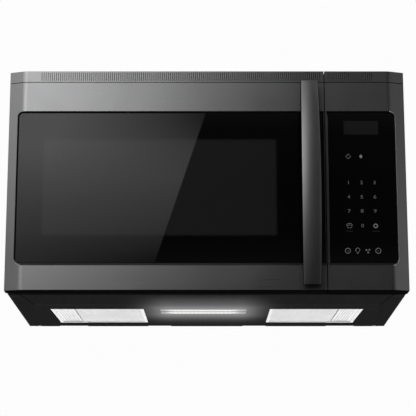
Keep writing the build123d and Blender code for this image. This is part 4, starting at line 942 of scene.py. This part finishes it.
def slopedPoint(points):
    # local x, up the slope, into the oven: turned by the pan's slope and moved to its crest
    cosine, sine = math.cos(filterSheet["slope"]), math.sin(filterSheet["slope"])
    return points @ np.array(((1, 0, 0), (0, cosine, sine), (0, -sine, cosine))) + filterSheet["pivot"]


def buildFilterSheet(name, body, side):
    # nodes on a staggered grid; a flat strand with a tilted section joins each to its two upper neighbours
    size = filterSheet
    columns = int((size["farX"] - size["nearX"]) / size["pitchX"])
    rows = int((size["highY"] - size["lowY"]) / size["pitchY"] * 2)
    column, row = np.meshgrid(np.arange(columns), np.arange(rows), indexing="ij")
    startX = size["nearX"] + (column + 0.5 * (row % 2)) * size["pitchX"]
    startY = size["lowY"] + row * size["pitchY"] / 2
    endY = startY + size["pitchY"] / 2
    strands = []
    for lean in (-0.5, 0.5):
        endX = startX + lean * size["pitchX"]
        keep = (np.minimum(startX, endX) >= size["nearX"] - size["slack"]) & (endY <= size["highY"])
        keep &= np.maximum(startX, endX) <= size["farX"]
        strands.append(np.stack((startX[keep], startY[keep], endX[keep], endY[keep]), -1))
    ends = np.concatenate(strands)
    across = acrossWay(ends[:, 2:] - ends[:, :2]) * size["strand"] / 2
    tilt, sheet = size["tilt"], size["sheet"]
    section = ((-1, 0.0), (1, tilt), (1, tilt + sheet), (-1, sheet))
    corners = np.empty((len(ends), 8, 3))
    for index, (sideways, high) in enumerate(section * 2):
        place = index // 4 * 2
        corners[:, index, :2] = ends[:, place : place + 2] + sideways * across
        corners[:, index, 2] = size["depth"] + high
    corners[..., 0] *= side
    box = np.array(tubeFaces(2, 4, flip=side < 0))
    faces = (box + (np.arange(len(ends)) * 8)[:, None, None]).reshape(-1, 4).tolist()
    meshPiece(name, slopedPoint(corners) * mm, faces, filterMetal, body, smooth=False)


buildFilterSheet("filterSheetLeft", "filter_left", -1)
buildFilterSheet("filterSheetRight", "filter_right", 1)
print("filter sheets built")


# Lamp: light bars just in front of the lens

lampBars = {
    "left": -81.0, "right": 63.0, "bars": ((86.5, 8.5), (121.5, 13.0)),
    "taper": 17.0, "least": 0.04, "depth": -0.9, "steps": 33, "turnSteps": 9,
}


def buildLampBars():
    # two low half-round ridges along X, pointed at both ends
    size = lampBars
    x = np.linspace(size["left"], size["right"], size["steps"])[:, None]
    turn = np.linspace(0, math.pi, size["turnSteps"])
    full = np.clip(np.minimum(x - size["left"], size["right"] - x) / size["taper"], size["least"], 1.0)
    points, faces = np.empty((len(size["bars"]), len(x), len(turn), 3)), []
    points[..., 0] = x
    points[..., 2] = size["depth"] * full * np.sin(turn)
    for index, (middle, half) in enumerate(size["bars"]):
        points[index, ..., 1] = middle + half * full * np.cos(turn)
        faces += tubeFaces(len(x), len(turn), index * len(x) * len(turn), flip=True)
    meshPiece("lampBars", slopedPoint(points) * mm, faces, lightBars, "case")


buildLampBars()
print("lamp bars built")


# Stage: floor, reflection card, lamps, camera

groundLook = {
    "reach": 9.0, "steps": 7, "z": -1.4, "grainScale": 60.0, "grainStrength": 0.02, "roughness": 0.9,
    "colour": (0.86, 0.86, 0.86), "glow": (0.98, 0.98, 0.98, 1.0), "ownGlow": 0.5, "worldGlow": (0.65, 1.0),
}


def seenDirectly(tree):
    # 1 for rays of the camera, in gloss and through glass
    seen = tree.nodes.new("ShaderNodeLightPath").outputs
    shown = calc(tree, "MAXIMUM", seen["Is Camera Ray"], seen["Is Glossy Ray"])
    return calc(tree, "MAXIMUM", shown, seen["Is Transmission Ray"])


@asMaterial
def makeGround(tree, place):
    # seen directly, half of the ground's brightness is its own; from below it is clear
    look = groundLook
    grain = moulded(tree, place, look["grainScale"], look["grainStrength"])
    dress(tree, Base_Color=scaleColour(tree, look["colour"], grain["Shade"]), Roughness=look["roughness"])
    strength = multiply(tree, seenDirectly(tree), look["ownGlow"])
    dress(tree, Emission_Color=look["glow"], Emission_Strength=strength)
    clear = tree.nodes.new("ShaderNodeBsdfTransparent")
    behind = tree.nodes.new("ShaderNodeNewGeometry").outputs["Backfacing"]
    blend = tree.nodes.new("ShaderNodeMixShader")
    for index, value in enumerate((behind, tree.nodes["Principled BSDF"].outputs[0], clear.outputs[0])):
        feed(tree, blend.inputs[index], value)
    feed(tree, tree.nodes["Material Output"].inputs["Surface"], blend.outputs[0])


def buildFloor():
    reach, steps = groundLook["reach"], groundLook["steps"]
    marks = np.linspace(-reach, reach, steps)
    across, deep = np.meshgrid(marks, marks, indexing="ij")
    points = np.stack((across, deep, np.full_like(across, groundLook["z"])), -1)
    floor = meshPiece("floor", points, gridFaces(steps, steps, False, flip=True), makeGround("paleFloor"))


# (height, level) pairs left and right of the card's leaning edge, inner before the oven and outer
# beside it; atEdge is the share of leftInner at the edge
cardLook = {
    "y": -1.921, "half": 3.4, "wingEnd": 2.2, "low": -1.385, "high": 3.8, "flagY": (-1.92, -0.75),
    "edgeX": -0.0065, "edgeZ": 0.8, "lean": 0.3277, "edgeHalf": 0.001, "edgeFade": 0.42,
    "leftStep": (-0.55, -0.75, 1.0, 1.45), "rightStep": (0.62, 0.85, 1.0, 0.55),
    "leftFar": (-1.1, -1.5), "rightFar": (1.05, 1.7),
    "leftInner": ((-1.4, 0.02), (-0.6, 0.03), (-0.1, 0.04), (0.03, 0.08), (0.2, 0.4), (0.31, 0.98),
        (0.345, 0.5), (0.41, 0.615), (0.455, 0.78), (0.525, 0.98), (0.61, 1.36), (0.7, 1.83),
        (0.95, 1.88), (1.35, 1.1), (1.7, 0.5), (2.1, 0.12), (3.8, 0.05)),
    "atEdge": ((-1.4, 0.2), (0.34, 0.15), (0.41, 0.5), (0.5, 0.64), (0.61, 0.62), (0.7, 0.38),
        (0.79, 0.15), (3.8, 0.15)),
    "leftOuter": ((-1.4, 0.04), (-0.4, 0.12), (0.03, 0.2), (0.31, 0.2), (0.455, 0.21), (0.61, 0.26),
        (0.72, 0.29), (0.93, 0.74), (1.5, 0.9), (2.2, 0.5), (3.8, 0.2)),
    "rightInner": ((-1.4, 0.01), (-0.2, 0.02), (0.3, 0.08), (0.42, 0.02), (0.6, 0.02), (0.75, 0.03),
        (0.88, 0.11), (1.3, 0.05), (2.0, 0.02), (3.8, 0.02)),
    "rightOuter": ((-1.4, 0.02), (0.0, 0.12), (0.2, 0.3), (0.33, 0.42), (0.61, 0.37), (0.72, 0.29),
        (0.86, 0.17), (0.95, 0.15), (1.6, 0.2), (3.8, 0.1)),
}


def levelRamp(tree, value, steps):
    # straight pieces between (place, level) pairs, from a colour ramp of half levels
    low, high = steps[0][0], steps[-1][0]
    node = addNode(tree, "ShaderNodeValToRGB", Fac=remap(tree, value, low, high))
    marks = node.color_ramp.elements
    while len(marks) < len(steps):
        marks.new(0.5)
    for mark, (place, level) in zip(marks, steps):
        mark.position = (place - low) / (high - low)
        mark.color = (level / 2, level / 2, level / 2, 1.0)
    return multiply(tree, node.outputs[0], 2.0)


def blendValues(tree, amount, first, second):
    firstShare = multiply(tree, minus(tree, 1.0, amount), first)
    return calc(tree, "MULTIPLY_ADD", amount, second, firstShare)


@asMaterial
def makeCardLight(tree, place):
    # bright to the left of a leaning edge, with its own levels at each height
    look = cardLook
    x, _, z = axes(tree, place)
    edge = calc(tree, "MULTIPLY_ADD", minus(tree, z, look["edgeZ"]), look["lean"], look["edgeX"])
    inward = minus(tree, edge, x)
    atEdge = levelRamp(tree, z, look["atEdge"])
    along = remap(tree, inward, 0.0, look["edgeFade"])
    near = calc(tree, "MULTIPLY_ADD", along, minus(tree, 1.0, atEdge), atEdge)
    levels = []
    for side, share in (("right", 1.0), ("left", near)):
        step = remap(tree, x, *look[side + "Step"], smooth=True)
        inner = multiply(tree, step, share, levelRamp(tree, z, look[side + "Inner"]))
        far = remap(tree, x, *look[side + "Far"], smooth=True)
        levels.append(blendValues(tree, far, inner, levelRamp(tree, z, look[side + "Outer"])))
    inside = remap(tree, inward, -look["edgeHalf"], look["edgeHalf"])
    glow = addNode(tree, "ShaderNodeEmission", Strength=blendValues(tree, inside, *levels))
    feed(tree, tree.nodes["Material Output"].inputs["Surface"], glow.outputs[0])


def buildCard():
    # a soft box seen only in reflections, with wings beside the oven and a low flag before it
    look = cardLook
    half, wingEnd, low, (flagFront, flagBack) = look["half"], look["wingEnd"], look["low"], look["flagY"]
    upright = np.empty((4, 2, 3))
    upright[:, :, 0] = (-half,), (-half,), (half,), (half,)
    upright[:, :, 1] = (wingEnd,), (look["y"],), (look["y"],), (wingEnd,)
    upright[:, :, 2] = (low, look["high"])
    flag = ((-half, flagFront, low), (half, flagFront, low), (half, flagBack, low), (-half, flagBack, low))
    points = np.concatenate((upright.reshape(-1, 3), flag))
    faces = gridFaces(4, 2, False) + [[8, 9, 10, 11]]
    card = meshPiece("reflectionCard", points, faces, makeCardLight("reflectionCard"), smooth=False)
    for ray in ("camera", "diffuse", "shadow", "transmission", "volume_scatter"):
        setattr(card, "visible_" + ray, False)


def buildWorld():
    world = bpy.data.worlds.new("studio")
    bpy.context.scene.world = world
    world.use_nodes = True
    tree = world.node_tree
    strength = between(tree, seenDirectly(tree), *groundLook["worldGlow"])
    feedAll(tree, tree.nodes["Background"].inputs, Color=groundLook["glow"], Strength=strength)


# place, point that the lamp faces, side in metres and power in watts
stageLamps = {
    "keyLamp": ((-1.6, -2.4, 1.9), (0, -0.3, 0.2), 1.4, 36),
    "fillLamp": ((2.2, 1.2, 1.7), (0, -0.2, 0.2), 1.2, 22),
}


def addLamp(name, place, target, side, power):
    # a square lamp, left out of reflections
    lamp = bpy.data.lights.new(name, "AREA")
    lamp.size = side
    lamp.energy = power
    holder = addObject(name, lamp)
    holder.location = place
    holder.rotation_euler = (Vector(target) - Vector(place)).to_track_quat("-Z", "Y").to_euler()
    holder.visible_glossy = False


buildFloor()
buildCard()
buildWorld()
for name, look in stageLamps.items():
    addLamp(name, *look)

cameraLook = {"place": (0.0023, -3.257, -0.5265), "upward": 13.55, "lens": 133.55, "sensor": 36}
camera = bpy.data.cameras.new("camera")
camera.lens = cameraLook["lens"]
camera.sensor_width = cameraLook["sensor"]
cameraHolder = addObject("camera", camera)
cameraHolder.location = cameraLook["place"]
cameraHolder.rotation_euler = (math.radians(90 + cameraLook["upward"]), 0, 0)
bpy.context.scene.camera = cameraHolder
bpy.context.scene.view_settings.view_transform = "Standard"
print("stage set")
